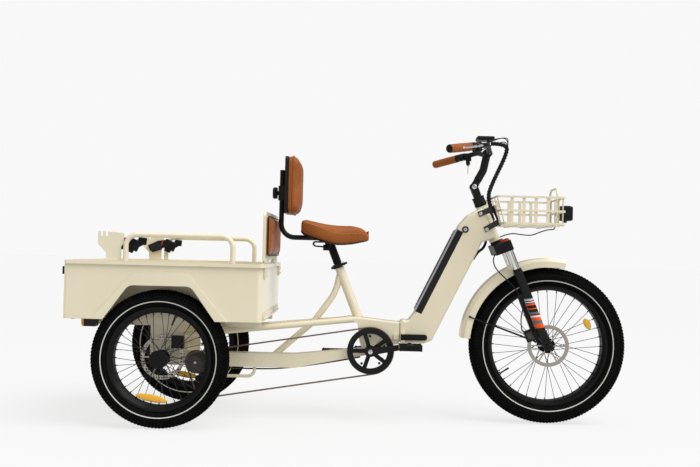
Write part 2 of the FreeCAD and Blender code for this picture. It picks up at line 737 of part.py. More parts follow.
def fold_panel():
    """Padded board that folds back on the box's front lip to make a seat."""
    x0 = PANEL_AXIS_X - PANEL_T / 2
    x1 = x0 + PANEL_T
    base = PANEL_AXIS_Z + PANEL_HINGE_R + 1
    board = block(x0, x1, -PANEL_HALF, PANEL_HALF, base, PANEL_TOP)
    corners = [e for e in board.Edges if e.CenterOfMass.z > PANEL_TOP - 1
               and abs(e.CenterOfMass.y) > PANEL_HALF - 1]
    board = board.makeFillet(2 * PANEL_T, corners)
    for side, out in SIDES:
        y0, y1 = sorted((out * (PANEL_HALF * 2 / 3 + CLEAR), out * PANEL_HALF))
        leaf = block(x0, x1, y0, y1, PANEL_AXIS_Z, base)
        bar = hinge_bar(PANEL_AXIS_X, PANEL_AXIS_Z, y0, y1, PANEL_HINGE_R, 0)
        hole = hinge_bar(PANEL_AXIS_X, PANEL_AXIS_Z, y0, y1, PANEL_HINGE_R / 2 + RUN, 0)
        board = board.fuse(leaf).fuse(bar).cut(hole)
    save("fold_panel", board.removeSplitter())
    save("panel_pad", cushion(PANEL_PAD_HALF, PANEL_PAD_BASE, PANEL_PAD_TOP, x1, PANEL_PAD_T,
                              2 * PANEL_T))


def tail_lamps():
    solids = []
    x0 = -REAR_TYRE_R - 39
    x1 = x0 + 53
    base = BOX_BASE - 34
    for side, out in SIDES:
        y0 = out * LAMP_Y - LAMP_W / 2
        solids.append(block(x0, x1, y0, y0 + LAMP_W, base, BOX_BASE))
        lens = block(x0 - 4, x0, y0 + 3, y0 + LAMP_W - 3, base + 3, BOX_BASE - 4)
        solids.append(lens)
    save("tail_lamps", *solids)


# Rear subframe, stays, seat tube and main beam

def on_seat(shape):
    """Stand a shape, drawn with the seat tube upright on the crank axis, in its place."""
    return shape.rotated(v(0, 0, 0), v(0, 1, 0), -SEAT_DEG).translated(v(CRANK_X, 0, CRANK_Z))


def rear_subframe():
    """Carrier under the box, plates down to the axle housing, and the stub axles."""
    low = BOX_BASE - CARRIER_H
    axle_z = REAR_TYRE_R
    half_w = CARRIER_W / 2
    inner = CARRIER_Y - half_w
    stub_end = TRACK / 2 + HUB_INNER
    frame = rod(v(0, -CARRIER_Y, axle_z), v(0, CARRIER_Y, axle_z), HOUSING_R)
    frame = frame.fuse(rod(v(0, -stub_end, axle_z), v(0, stub_end, axle_z), REAR_AXLE_R))
    cradle = block(-STAY_REAR_X, STAY_REAR_X, -LOWER_BEAM_HALF, LOWER_BEAM_HALF, LOWER_BEAM_Z,
                   axle_z)
    frame = frame.fuse(cradle)
    for x in (-CROSS_X, 0.0, CROSS_X):
        frame = frame.fuse(block(x - half_w, x + half_w, -inner, inner, low, BOX_BASE))
    for side, out in SIDES:
        y = out * CARRIER_Y
        rail = block(BOX_REAR + CARRIER_W, BOX_FRONT - half_w, y - half_w, y + half_w, low, BOX_BASE)
        outer = block(-2 * CARRIER_W, 2 * CARRIER_W, y - PLATE_T / 2, y + PLATE_T / 2,
                      axle_z - CARRIER_H, low)
        y = out * CENTRE_PLATE_Y
        centre = block(-STAY_REAR_X, STAY_REAR_X, y - PLATE_T, y + PLATE_T, axle_z - CARRIER_H, low)
        frame = frame.fuse(rail).fuse(outer).fuse(centre)
    save("rear_subframe", frame.removeSplitter())


def seat_tube_blank():
    """Seat tube as a full bar from the crank to its top."""
    return on_seat(rod(v(0, 0, 0), v(0, 0, SEAT_TUBE_L), SEAT_TUBE_R))


def beam_blank():
    """Main beam's side outline from the gusset behind the seat tube to the hinge."""
    shell_back = CRANK_X - SHELL_R
    outline = [(BEAM_REAR, BEAM_Z), (BEAM_REAR, BEAM_Z + BEAM_DEEP), (BEAM_KNEE_X, BEAM_KNEE_Z),
               (HINGE_X, HINGE_TOP),
               (HINGE_X, HINGE_BASE), (CRANK_X + 2 * SHELL_R, HINGE_BASE - 14),
               (CRANK_X + SHELL_R, CRANK_Z - SHELL_R / 2), (shell_back, CRANK_Z - SHELL_R / 2),
               (shell_back - 20, CRANK_Z + BEAM_HALF), (shell_back - 30, BEAM_Z)]
    return slab(outline, -BEAM_HALF, BEAM_HALF)


def lower_beam():
    """Box-section beam from the axle cradle forward, rising to the crank shell."""
    front_x = CRANK_X - SHELL_R / 2
    low = LOWER_BEAM_Z
    outline = [(STAY_REAR_X, low), (LOWER_BEND_X, low), (front_x, CRANK_Z - 21), (front_x, CRANK_Z + 10),
               (LOWER_BEND_X, low + LOWER_BEAM_H), (STAY_REAR_X, low + LOWER_BEAM_H)]
    return slab(outline, -LOWER_BEAM_HALF, LOWER_BEAM_HALF)


def rear_stays():
    """Lower beam, paired upper stays, the bent strut, the cog axle and the guard loop."""
    shell = rod(v(CRANK_X, -SHELL_HALF, CRANK_Z), v(CRANK_X, SHELL_HALF, CRANK_Z), SHELL_R)
    beam = lower_beam().cut(beam_blank()).cut(shell)
    beam = beam.fuse(rod(v(COG_X, -LOWER_BEAM_HALF, COG_Z), v(COG_X, CHAIN_Y - 26, COG_Z), COG_AXLE_R))
    solids = [beam.removeSplitter()]
    for side, out in SIDES:
        start = v(STAY_REAR_X, out * CENTRE_PLATE_Y, STAY_Z)
        end = v(BEAM_REAR + BEAM_DEEP, out * (STAY_FRONT_Y - 3), BEAM_Z + BEAM_DEEP / 2)
        stay = rod(start - (end - start) * 0.05, end, STAY_R).cut(beam_blank())
        stay = stay.cut(block(-CROSS_X, STAY_REAR_X, -CARRIER_Y, CARRIER_Y, 0, BOX_BASE))
        solids.append(max(stay.Solids, key=lambda s: s.Volume))
    top = seat_point(SEAT_TUBE_L - STRUT_DOWN)
    knee = top - v(STRUT_KNEE[0], 0, STRUT_KNEE[1])
    elbow = v(STRUT_ELBOW_X, 0, BEAM_Z)
    foot = v(STRUT_FOOT_X, 0, LOWER_BEAM_Z + LOOP_DROP)
    strut = pipe([top, knee, elbow, foot], STRUT_R, STRUT_BEND)
    strut = strut.cut(seat_tube_blank()).cut(lower_beam())
    solids.append(max(strut.Solids, key=lambda s: s.Volume))
    y = -LOWER_BEAM_HALF / 2
    low = LOWER_BEAM_Z - LOOP_DROP
    solids.append(pipe([v(LOOP_FRONT, y, LOWER_BEAM_Z), v(LOOP_FRONT, y, low), v(LOOP_REAR, y, low),
                        v(LOOP_REAR, y, LOWER_BEAM_Z)], LOOP_R, LOOP_BEND))
    save("rear_stays", *solids)


def seat_tube():
    """Seat tube with its clamp collar and the two ears of the clamp lever."""
    bore = rod(v(0, 0, 0), v(0, 0, SEAT_TUBE_L), POST_R + RUN)
    collar = rod(v(0, 0, SEAT_TUBE_L - COLLAR_H), v(0, 0, SEAT_TUBE_L), COLLAR_R)
    ear_y = -COLLAR_R - SEAT_LEVER_T
    for z0 in (SEAT_TUBE_L - COLLAR_H, SEAT_TUBE_L - EAR_T):
        ear = block(SEAT_PIVOT_F - 6, SEAT_PIVOT_F + 6, ear_y - 2, 0, z0, z0 + EAR_T)
        collar = collar.fuse(ear)
    pin = rod(v(SEAT_PIVOT_F, SEAT_PIVOT_Y, SEAT_TUBE_L - COLLAR_H),
              v(SEAT_PIVOT_F, SEAT_PIVOT_Y, SEAT_TUBE_L), SEAT_PIN_R)
    tube = seat_tube_blank().cut(beam_blank()).fuse(on_seat(collar)).cut(on_seat(bore))
    tube = tube.fuse(on_seat(pin))
    keep = max(tube.Solids, key=lambda s: s.CenterOfMass.z)
    save("seat_tube", keep.removeSplitter())
    z0 = SEAT_TUBE_L - COLLAR_H + EAR_T + CLEAR
    z1 = SEAT_TUBE_L - EAR_T - CLEAR
    eye = rod(v(SEAT_PIVOT_F, SEAT_PIVOT_Y, z0), v(SEAT_PIVOT_F, SEAT_PIVOT_Y, z1), 5.5)
    arm = block(SEAT_PIVOT_F - SEAT_LEVER_L, SEAT_PIVOT_F, ear_y, -COLLAR_R - 1, z0, z1)
    hole = rod(v(SEAT_PIVOT_F, SEAT_PIVOT_Y, z0), v(SEAT_PIVOT_F, SEAT_PIVOT_Y, z1), SEAT_PIN_R + RUN)
    save("seat_lever", on_seat(eye.fuse(arm).cut(hole).removeSplitter()))


def knuckle(z0, z1, toward):
    """One hinge knuckle, with the lug that joins it to a beam's side."""
    bar = rod(v(HINGE_X, HINGE_Y, z0), v(HINGE_X, HINGE_Y, z1), KNUCKLE_R)
    x0, x1 = sorted((HINGE_X, HINGE_X + toward * 26))
    return bar.fuse(block(x0, x1, BEAM_HALF - 8, HINGE_Y, z0, z1))


def knuckle_levels():
    """Heights of the lower, middle and upper knuckles."""
    base = HINGE_BASE + HINGE_PIN_R
    return [(base + i * KNUCKLE_H, base + (i + 1) * KNUCKLE_H) for i in range(3)]


def main_beam():
    """Low beam with the crank shell, the rear half of the fold hinge and its pin."""
    beam = beam_blank()
    long_edges = [e for e in beam.Edges if e.Length > 100 and abs(e.CenterOfMass.y) > BEAM_HALF - 1]
    beam = beam.makeFillet(BEAM_EDGE, long_edges)
    shell = rod(v(CRANK_X, -SHELL_HALF, CRANK_Z), v(CRANK_X, SHELL_HALF, CRANK_Z), SHELL_R)
    bore = rod(v(CRANK_X, -SHELL_HALF, CRANK_Z), v(CRANK_X, SHELL_HALF, CRANK_Z), SPINDLE_R + RUN)
    beam = beam.fuse(shell)
    low, middle, high = knuckle_levels()
    swing = sleeve(v(HINGE_X, HINGE_Y, middle[0]), v(HINGE_X, HINGE_Y, middle[1]),
                   KNUCKLE_R + CLEAR, HINGE_PIN_R)
    for level in (low, high):
        beam = beam.fuse(knuckle(level[0], level[1], -1))
    pin = rod(v(HINGE_X, HINGE_Y, HINGE_BASE), v(HINGE_X, HINGE_Y, HINGE_TOP), HINGE_PIN_R)
    catch = block(HINGE_X - 24, HINGE_X, -BEAM_HALF - 8, -BEAM_HALF + 4, LATCH_LOW, LATCH_HIGH)
    beam = beam.fuse(catch).cut(bore).cut(swing).fuse(pin)
    save("main_beam", beam.removeSplitter())


def fold_latch():
    """Hand lever on the near side that locks the fold hinge."""
    eye = rod(v(LATCH_PIN_X, LATCH_PIN_Y, LATCH_LOW), v(LATCH_PIN_X, LATCH_PIN_Y, LATCH_HIGH),
              LATCH_EYE_R)
    bar = block(LATCH_PIN_X, LATCH_PIN_X + LATCH_LEVER_L, LATCH_PIN_Y - 7, LATCH_PIN_Y + 7,
                LATCH_LOW, LATCH_HIGH)
    ends = [e for e in bar.Edges if e.CenterOfMass.x > LATCH_PIN_X + LATCH_LEVER_L - 1
            and abs(e.CenterOfMass.y - LATCH_PIN_Y) < 1]
    bar = bar.makeFillet(10.0, ends)
    hole = rod(v(LATCH_PIN_X, LATCH_PIN_Y, LATCH_LOW), v(LATCH_PIN_X, LATCH_PIN_Y, LATCH_HIGH),
               LATCH_PIN_R + RUN)
    save("fold_latch", eye.fuse(bar).cut(hole).removeSplitter())


# Drive

def belt_loop(circles, grow, y0, y1):
    """Closed band round three circles, given in order, at a set distance from them."""
    points = []
    for (x, z, r), (x2, z2, r2) in zip(circles, circles[1:] + circles[:1]):
        run = v(x2 - x, 0, z2 - z)
        turn = math.asin((r - r2) / run.Length)
        normal = v(-run.z, 0, run.x).normalize()
        along = v(run.x, 0, run.z).normalize()
        side = normal * math.cos(turn) + along * math.sin(turn)
        points.append((v(x, y0, z) + side * (r + grow), v(x2, y0, z2) + side * (r2 + grow), side))
    edges = []
    for i, (start, end, side) in enumerate(points):
        following = points[(i + 1) % len(points)]
        x, z, r = circles[(i + 1) % len(circles)]
        middle = (side + following[2]).normalize()
        edges.append(Part.LineSegment(start, end).toShape())
        edges.append(Part.Arc(end, v(x, y0, z) + middle * (r + grow), following[0]).toShape())
    return Part.Face(Part.Wire(edges)).extrude(v(0, y1 - y0, 0))


def chain():
    """Chain round the chainring, the working cog and the lower pulley, as a plain band."""
    circles = [(CRANK_X, CRANK_Z, RING_R), (PULLEY_X, PULLEY_Z, PULLEY_R), (COG_X, COG_Z, COG_R)]
    y0 = CHAIN_Y - CHAIN_W / 2
    y1 = CHAIN_Y + CHAIN_W / 2
    save("chain", belt_loop(circles, CHAIN_T + CLEAR, y0, y1).cut(belt_loop(circles, CLEAR, y0, y1)))


def derailleur():
    """Hanger on the beam, the cage plates and the two jockey pulleys."""
    upper = v(PULLEY_X - 13, 0, PULLEY_Z + 60)
    lower = v(PULLEY_X, 0, PULLEY_Z)
    pulley_w = 5.0
    solids = []
    inner = CHAIN_Y + CHAIN_W / 2 + 1
    outer = CHAIN_Y - CHAIN_W / 2 - 1
    cage = None
    for y0, y1 in ((inner, inner + 3), (outer - 3, outer)):
        plate = slab([(upper.x - 9, upper.z + 9), (upper.x + 9, upper.z + 9), (lower.x + 9, lower.z - 9),
                      (lower.x - 9, lower.z - 9)], y0, y1)
        cage = plate if cage is None else cage.fuse(plate)
    hanger_y = -LOWER_BEAM_HALF
    hanger = slab([(COG_X + 20, LOWER_BEAM_Z + 30), (COG_X + 44, LOWER_BEAM_Z + 30),
                   (upper.x + 12, upper.z - 10), (upper.x - 12, upper.z - 10)],
                  hanger_y - 6, hanger_y)
    cage = cage.fuse(hanger)
    for middle, reach in ((upper, hanger_y), (lower, inner + 3)):
        start = v(middle.x, outer - 3, middle.z)
        cage = cage.fuse(rod(start, v(middle.x, reach, middle.z), 3.5))
        pulley = disc(middle, PULLEY_R - CLEAR, 3.5, CHAIN_Y - pulley_w / 2, CHAIN_Y + pulley_w / 2)
        solids.append(pulley)
    save("derailleur", cage.removeSplitter(), *solids)


def cassette():
    """Stepped sprocket stack that turns on the cog axle."""
    steps = ((-CHAIN_W / 2 - 14, -11), (-CHAIN_W / 2 - 7, -6), (CHAIN_W / 2, -CLEAR),
             (CHAIN_W / 2 + 6, 5), (CHAIN_W / 2 + 12, 11))
    bore = COG_AXLE_R + RUN
    offset = -CHAIN_W / 2 - 20
    profile = [(bore, offset)]
    for end, taller in steps:
        profile.append((COG_R + taller, offset))
        profile.append((COG_R + taller, end))
        offset = end
    profile.append((bore, offset))
    save("cassette", turned(profile, v(COG_X, CHAIN_Y, COG_Z)))


def crank_end(turn):
    angle = math.radians(CRANK_DEG + turn)
    return CRANK_X + CRANK_L * math.cos(angle), CRANK_Z + CRANK_L * math.sin(angle)


def crankset():
    """Spindle, two arms and pedal axles in one forging, the right arm forward at rest."""
    middle = v(CRANK_X, 0, CRANK_Z)
    solid = rod(v(CRANK_X, -ARM_Y, CRANK_Z), v(CRANK_X, ARM_Y, CRANK_Z), SPINDLE_R)
    guard_face = CHAIN_Y - CHAIN_W / 2 - 5
    solid = solid.fuse(rod(v(CRANK_X, guard_face, CRANK_Z), v(CRANK_X, -ARM_Y, CRANK_Z), 20.0))
    for turn, out in ((0.0, -1), (180.0, 1)):
        x, z = crank_end(turn)
        y0, y1 = sorted((out * ARM_Y, out * (ARM_Y + ARM_T)))
        arm = slab([(0, -15), (CRANK_L, -11), (CRANK_L, 11), (0, 15)], y0, y1)
        arm = arm.rotated(v(0, 0, 0), v(0, -1, 0), CRANK_DEG + turn).translated(middle)
        boss = rod(v(CRANK_X, y0, CRANK_Z), v(CRANK_X, y1, CRANK_Z), 18.0)
        eye = rod(v(x, y0, z), v(x, y1, z), 14.0)
        axle = rod(v(x, out * ARM_Y, z), v(x, out * (ARM_Y + ARM_T + PEDAL_W + 16), z), PEDAL_AXLE_R)
        solid = solid.fuse(arm).fuse(boss).fuse(eye).fuse(axle)
    save("crankset", solid.removeSplitter())


def pedals():
    for side, out, turn in (("right", -1, 0.0), ("left", 1, 180.0)):
        x, z = crank_end(turn)
        y0, y1 = sorted((out * (ARM_Y + ARM_T + 8), out * (ARM_Y + ARM_T + 8 + PEDAL_W)))
        body = block(x - PEDAL_L / 2, x + PEDAL_L / 2, y0, y1, z - PEDAL_H / 2, z + PEDAL_H / 2)
        for way in (-1, 1):
            middle = x + way * 29
            window = block(middle - 15, middle + 15, y0 + 12, y1 - 12, z - PEDAL_H, z + PEDAL_H)
            body = body.cut(window)
        body = body.cut(rod(v(x, y0, z), v(x, y1, z), PEDAL_AXLE_R + RUN))
        save("pedal_" + side, body)


def chainring():
    """Toothless ring plate on five arms, with the guard ring on its outer face."""
    middle = v(CRANK_X, CHAIN_Y, CRANK_Z)
    plate = disc(middle, RING_R - CLEAR, RING_R - 22, -2.0, 2.0)
    guard = disc(middle, RING_R + 3, RING_R - 22, -9.0, -CHAIN_W / 2 - 1)
    neck = disc(middle, RING_R - 12, RING_R - 22, -CHAIN_W / 2 - 1, -2.0)
    hub = disc(middle, 24.0, SPINDLE_R, -9.0, 2.0)
    solid = plate.fuse(guard).fuse(neck).fuse(hub)
    for i in range(5):
        arm = block(18.0, RING_R - 18, -7.0, 0.0, -9.0, 9.0)
        solid = solid.fuse(arm.rotated(v(0, 0, 0), v(0, 1, 0), 36 + i * 72.0).translated(middle))
    save("chainring", solid.removeSplitter())


def rear_calipers():
    """Brake calipers that straddle the rear discs, on arms from the axle plates."""
    solids = []
    for side, out in SIDES:
        disc_y = TRACK / 2 - HUB_INNER - ROTOR_T / 2
        x0 = 2 * CARRIER_W - 24
        z0 = REAR_TYRE_R + 40
        y0, y1 = sorted((out * (disc_y - 14), out * (disc_y + 12)))
        body = block(x0, x0 + CALIPER_L, y0, y1, z0, z0 + CALIPER_L)
        slot0, slot1 = sorted((out * (disc_y - 2.5), out * (disc_y + 2.5)))
        body = body.cut(block(x0 - 1, x0 + CALIPER_L + 1, slot0, slot1, z0 - 1, z0 + CALIPER_L - 5))
        a0, a1 = sorted((out * (CARRIER_Y + PLATE_T / 2), out * (disc_y - 14)))
        arm = block(x0, x0 + 22, a0, a1, z0 + 10, z0 + 34)
        solids.append(body.fuse(arm).removeSplitter())
    save("rear_calipers", *solids)


def frame_cables():
    """Two cables clipped under the lower beam, one with its plug connection."""
    solids = []
    for y, sag in ((4.0, 0.0), (16.0, 5.0)):
        z = LOWER_BEAM_Z - BEAM_CABLE_DROP
        end_x, end_z = CRANK_X - BEAM_CABLE_END[0], z + BEAM_CABLE_END[1]
        path = [v(2 * STAY_REAR_X, y, z), v(BEAM_CABLE_SAG_X, y, z - sag - 3), v(LOWER_BEND_X, y, z),
                v(end_x, y, end_z)]
        solids.append(pipe(path, BEAM_CABLE_R, BEAM_CABLE_BEND))
    for x in (2.5 * STAY_REAR_X, LOWER_BEND_X - 3):
        clip = block(x - 5, x + 5, -3, 23, LOWER_BEAM_Z - 12, LOWER_BEAM_Z)
        for cable in solids[:2]:
            clip = clip.cut(cable)
        solids.append(clip)
    save("frame_cables", *solids)


# Front frame

def head_rod(radius, low, high):
    """Bar on the steering axis between two heights up the fork."""
    return on_fork(rod(v(-AXIS_SET, 0, low), v(-AXIS_SET, 0, high), radius))


def battery_outline():
    """Side outline of the battery along the down tube's upper edge."""
    start = v(HINGE_X + TUBE_SADDLE[0][0], 0, TUBE_SADDLE[0][1])
    along = (v(WHEELBASE - TUBE_BROW[1][0], 0, TUBE_BROW[1][1]) - start).normalize()
    inward = v(along.z, 0, -along.x)
    corners = []
    end = BATTERY_START + BATTERY_L
    for run, depth in ((BATTERY_START, -BATTERY_PROUD), (end, -BATTERY_PROUD), (end, BATTERY_T),
                       (BATTERY_START, BATTERY_T)):
        point = start + along * run + inward * depth
        corners.append((point.x, point.z))
    return corners


def battery():
    """Battery in the step of the down tube, and the key lock beside its top."""
    pack = rounded_slab(battery_outline(), -TUBE_HALF, TUBE_HALF, BATTERY_CORNER)
    lock_x = WHEELBASE - LOCK_BACK
    lock = rod(v(lock_x, -TUBE_HALF, LOCK_Z), v(lock_x, -TUBE_HALF - LOCK_H, LOCK_Z), LOCK_R)
    save("battery", pack, lock)


def tube_blank():
    """Deep tapered tube from the fold hinge up to the head, before its cuts."""
    brow = fork_point(-AXIS_SET - HEAD_R + 4, 0, HEAD_TOP - 8)
    crest = fork_point(-AXIS_SET, 0, HEAD_TOP - 8)
    chin = fork_point(-AXIS_SET, 0, HEAD_BASE + 8)
    x = HINGE_X + CLEAR
    outline = [(x, HINGE_BASE)]
    outline += [(HINGE_X + ahead, z) for ahead, z in TUBE_FOOT]
    outline += [(WHEELBASE - back, z) for back, z in TUBE_CHIN]
    outline += [(chin.x, chin.z), (crest.x, crest.z), (brow.x, brow.z)]
    outline += [(WHEELBASE - back, z) for back, z in TUBE_BROW]
    outline += [(HINGE_X + ahead, z) for ahead, z in TUBE_SADDLE]
    outline += [(x + TUBE_LIP[0], HINGE_TOP + TUBE_LIP[1]), (x, HINGE_TOP)]
    tube = rounded_slab(outline, -TUBE_HALF, TUBE_HALF, TUBE_EDGE + 2)
    rims = [e for e in tube.Edges if abs(e.CenterOfMass.y) > TUBE_HALF - 1]
    return tube.makeFillet(TUBE_EDGE, rims)


def down_tube():
    """Down tube with its hinge knuckle, latch ears and battery step."""
    tube = tube_blank()
    low, middle, high = knuckle_levels()
    tube = tube.fuse(knuckle(middle[0] + CLEAR, middle[1] - CLEAR, 1))
    for level in (low, high):
        tube = tube.cut(rod(v(HINGE_X, HINGE_Y, level[0] - 20), v(HINGE_X, HINGE_Y, level[1]),
                            KNUCKLE_R + CLEAR))
    tube = tube.cut(rod(v(HINGE_X, HINGE_Y, HINGE_BASE), v(HINGE_X, HINGE_Y, HINGE_TOP),
                        HINGE_PIN_R + RUN))
    ear = LATCH_EAR
    for z0 in (LATCH_LOW - CLEAR - ear, LATCH_HIGH + CLEAR):
        tube = tube.fuse(block(LATCH_PIN_X - ear, LATCH_PIN_X + ear, LATCH_PIN_Y - ear, 12 - TUBE_HALF,
                               z0, z0 + ear))
    tube = tube.fuse(rod(v(LATCH_PIN_X, LATCH_PIN_Y, LATCH_LOW - ear),
                         v(LATCH_PIN_X, LATCH_PIN_Y, LATCH_HIGH + ear), LATCH_PIN_R))
    tube = tube.cut(slab(battery_outline(), -TUBE_HALF - 1, TUBE_HALF + 1))
    tube = tube.cut(head_rod(HEAD_R, HEAD_BASE - 20, HEAD_TOP + 20))
    save("down_tube", tube.removeSplitter())


def head_tube():
    """Head tube with the bearing cups pressed into its ends."""
    cup = 14.0
    tube = head_rod(HEAD_R, HEAD_BASE, HEAD_TOP)
    tube = tube.cut(head_rod(STEERER_R + 3, HEAD_BASE + cup, HEAD_TOP - cup))
    save("head_tube", tube.cut(head_rod(STEERER_R + RUN, HEAD_BASE - 1, HEAD_TOP + 1)))


def basket_rear(z):
    """Rear face of the basket, which leans with the head, at one height."""
    return BASKET_REAR + BASKET_TAPER * (BASKET_TOP - z) / (BASKET_TOP - BASKET_BASE)


def pairwise(*values):
    return list(zip(values, values[1:]))


def basket_ring(z):
    """One flat-bar rail round the basket, welded up from straight bars and bent corners."""
    rear = basket_rear(z)
    outer = block(rear, BASKET_FRONT, -BASKET_HALF, BASKET_HALF, z - RING_H, z)
    inner = block(rear + SLAT_T, BASKET_FRONT - SLAT_T, SLAT_T - BASKET_HALF, BASKET_HALF - SLAT_T,
                  z - RING_H, z)
    corners = [e for e in outer.Edges if abs(e.CenterOfMass.z - z + RING_H / 2) < 1]
    inner_corners = [e for e in inner.Edges if abs(e.CenterOfMass.z - z + RING_H / 2) < 1]
    outer = outer.makeFillet(BASKET_CORNER, corners)
    ring = outer.cut(inner.makeFillet(BASKET_CORNER - SLAT_T, inner_corners))
    pieces = []
    for x0, x1 in pairwise(rear, rear + BASKET_CORNER, BASKET_FRONT - BASKET_CORNER, BASKET_FRONT):
        for y0, y1 in pairwise(-BASKET_HALF, BASKET_CORNER - BASKET_HALF, BASKET_HALF - BASKET_CORNER,
                               BASKET_HALF):
            pieces += ring.common(block(x0, x1, y0, y1, z - RING_H, z)).Solids
    return pieces


def basket_slats():
    """Upright slats on all four sides, the floor bars and the hoop at the front."""
    solids = []
    face = BASKET_HALF - SLAT_T
    first = basket_rear(BASKET_BASE) + 22
    step = (BASKET_FRONT - 30 - first) / 4
    for i in range(4):
        x = first + step * i
        for side, out in SIDES:
            y0, y1 = sorted((out * (face - SLAT_T), out * face))
            solids.append(block(x, x + SLAT_W, y0, y1, BASKET_BASE, BASKET_TOP))
    low = basket_rear(BASKET_BASE) + SLAT_T
    top = BASKET_REAR + SLAT_T
    leaning = [(top, BASKET_TOP), (top + SLAT_T, BASKET_TOP), (low + SLAT_T, BASKET_BASE),
               (low, BASKET_BASE)]
    for i in range(5):
        y0 = BASKET_HALF * (0.4 * i - 0.8) - SLAT_W / 2
        y1 = y0 + SLAT_W
        front = BASKET_FRONT - SLAT_T
        solids.append(block(front - SLAT_T, front, y0, y1, BASKET_BASE, BASKET_TOP))
        solids.append(slab(leaning, y0, y1))
        solids.append(block(low - SLAT_T, BASKET_FRONT, y0, y1, BASKET_BASE - SLAT_T, BASKET_BASE))
    for i in range(3):
        x = first + (BASKET_FRONT - first) * (0.15 + 0.32 * i)
        solids.append(block(x, x + SLAT_W, -BASKET_HALF, BASKET_HALF, BASKET_BASE - 2 * SLAT_T,
                            BASKET_BASE - SLAT_T))
    hoop_x = BASKET_FRONT - 2 * SLAT_T - BASKET_BAR
    hoop_y = BASKET_HALF * 0.4
    hoop_top = BASKET_TOP + HOOP_RISE
    solids.append(pipe([v(hoop_x, -hoop_y, BASKET_BASE), v(hoop_x, -hoop_y, hoop_top),
                        v(hoop_x, hoop_y, hoop_top), v(hoop_x, hoop_y, BASKET_BASE)], BASKET_BAR, 40.0))
    return solids


def basket_bracket(out, rings):
    """Two arms and their flanges that hold the basket to one side of the head."""
    arms = []
    for along in BRACKET_ALONG:
        z0 = max(fork_point(0, 0, along).z, BASKET_BASE + 1)
        z1 = z0 + BRACKET_H
        ends = [fork_point(-AXIS_SET - 30, 0, along), fork_point(-AXIS_SET - 30, 0, along + BRACKET_H)]
        outline = [(p.x, p.z) for p in ends] + [(basket_rear(z1), z1), (basket_rear(z0), z0)]
        y0, y1 = sorted((out * TUBE_HALF, out * (TUBE_HALF + BRACKET_T)))
        arm = slab(outline, y0, y1)
        front = [(basket_rear(z) + SLAT_T, z) for z in (z1, z0)]
        back = [(basket_rear(z) - 2, z) for z in (z0, z1)]
        y0, y1 = sorted((out * TUBE_HALF, out * (TUBE_HALF + 33)))
        arm = arm.fuse(slab(front + back, y0, y1)).removeSplitter()
        for ring in rings:
            arm = arm.cut(ring)
        arms.append(arm)
    return arms


def basket():
    """Slatted basket, its brackets on the head, the lamp's fork and the cable clip."""
    rings = []
    for z in (BASKET_TOP, BASKET_TOP - 58, BASKET_BASE + RING_H):
        rings += basket_ring(z)
    solids = rings + basket_slats()
    for side, out in SIDES:
        solids += basket_bracket(out, rings)
    reach = LAMP_LUG + CLEAR + BRACKET_T
    fork = rod(v(LAMP_X, -reach, LAMP_Z), v(LAMP_X, reach, LAMP_Z), LAMP_PIN_R)
    for side, out in SIDES:
        y0, y1 = sorted((out * (LAMP_LUG + CLEAR), out * reach))
        fork = fork.fuse(block(BASKET_FRONT, LAMP_X, y0, y1, LAMP_Z - 5, LAMP_Z + 5))
        fork = fork.fuse(rod(v(LAMP_X, y0, LAMP_Z), v(LAMP_X, y1, LAMP_Z), 5.0))
    fork = fork.fuse(block(BASKET_FRONT - SLAT_T, BASKET_FRONT, -reach, reach, LAMP_Z - 12, LAMP_Z + 12))
    solids.append(fork.removeSplitter())
    clip = on_fork(block(-AXIS_SET, 4, -10, 10, CLIP_ALONG - 18, CLIP_ALONG))
    solids.append(clip.cut(head_rod(HEAD_R, HEAD_BASE, HEAD_TOP)))
    save("basket", *solids)


def headlight():
    """Lamp box on a lug that tilts between the fork's cheeks."""
    rear = LAMP_X + 7
    body = block(rear, rear + LIGHT_L - 12, -LIGHT_W / 2, LIGHT_W / 2, LAMP_Z - LIGHT_H / 2,
                 LAMP_Z + LIGHT_H / 2)
    body = body.makeFillet(7.0, [e for e in body.Edges if e.CenterOfMass.x > rear + 5])
    lug = block(LAMP_X, rear, -LAMP_LUG, LAMP_LUG, LAMP_Z - 5, LAMP_Z + 5)
    lug = lug.fuse(rod(v(LAMP_X, -LAMP_LUG, LAMP_Z), v(LAMP_X, LAMP_LUG, LAMP_Z), 5.0))
    bore = rod(v(LAMP_X, -LAMP_LUG, LAMP_Z), v(LAMP_X, LAMP_LUG, LAMP_Z), LAMP_PIN_R + RUN)
    save("headlight", body.fuse(lug).cut(bore).removeSplitter())


def front_cables():
    """Lamp lead under the basket, and the bundle from the down tube to the head."""
    rise_x = BASKET_FRONT + LEAD_R + CLEAR
    route = [fork_point(LEAD_R + HEAD_R + CLEAR - AXIS_SET, 0, HEAD_BASE + 9)]
    route += [v(BASKET_REAR + run, 0, BASKET_BASE - drop) for run, drop in LEAD_SAG]
    route += [v(rise_x, 0, BASKET_BASE - LEAD_SAG[-1][1]), v(rise_x, 0, LAMP_Z - LEAD_END_DROP)]
    lead = pipe(route, LEAD_R, LEAD_BEND)
    bundle = pipe([v(WHEELBASE - back, 0, z) for back, z in BUNDLE_ROUTE], BUNDLE_R, BUNDLE_BEND)
    save("front_cables", lead, bundle.cut(tube_blank()))


# Fork, fender and stem

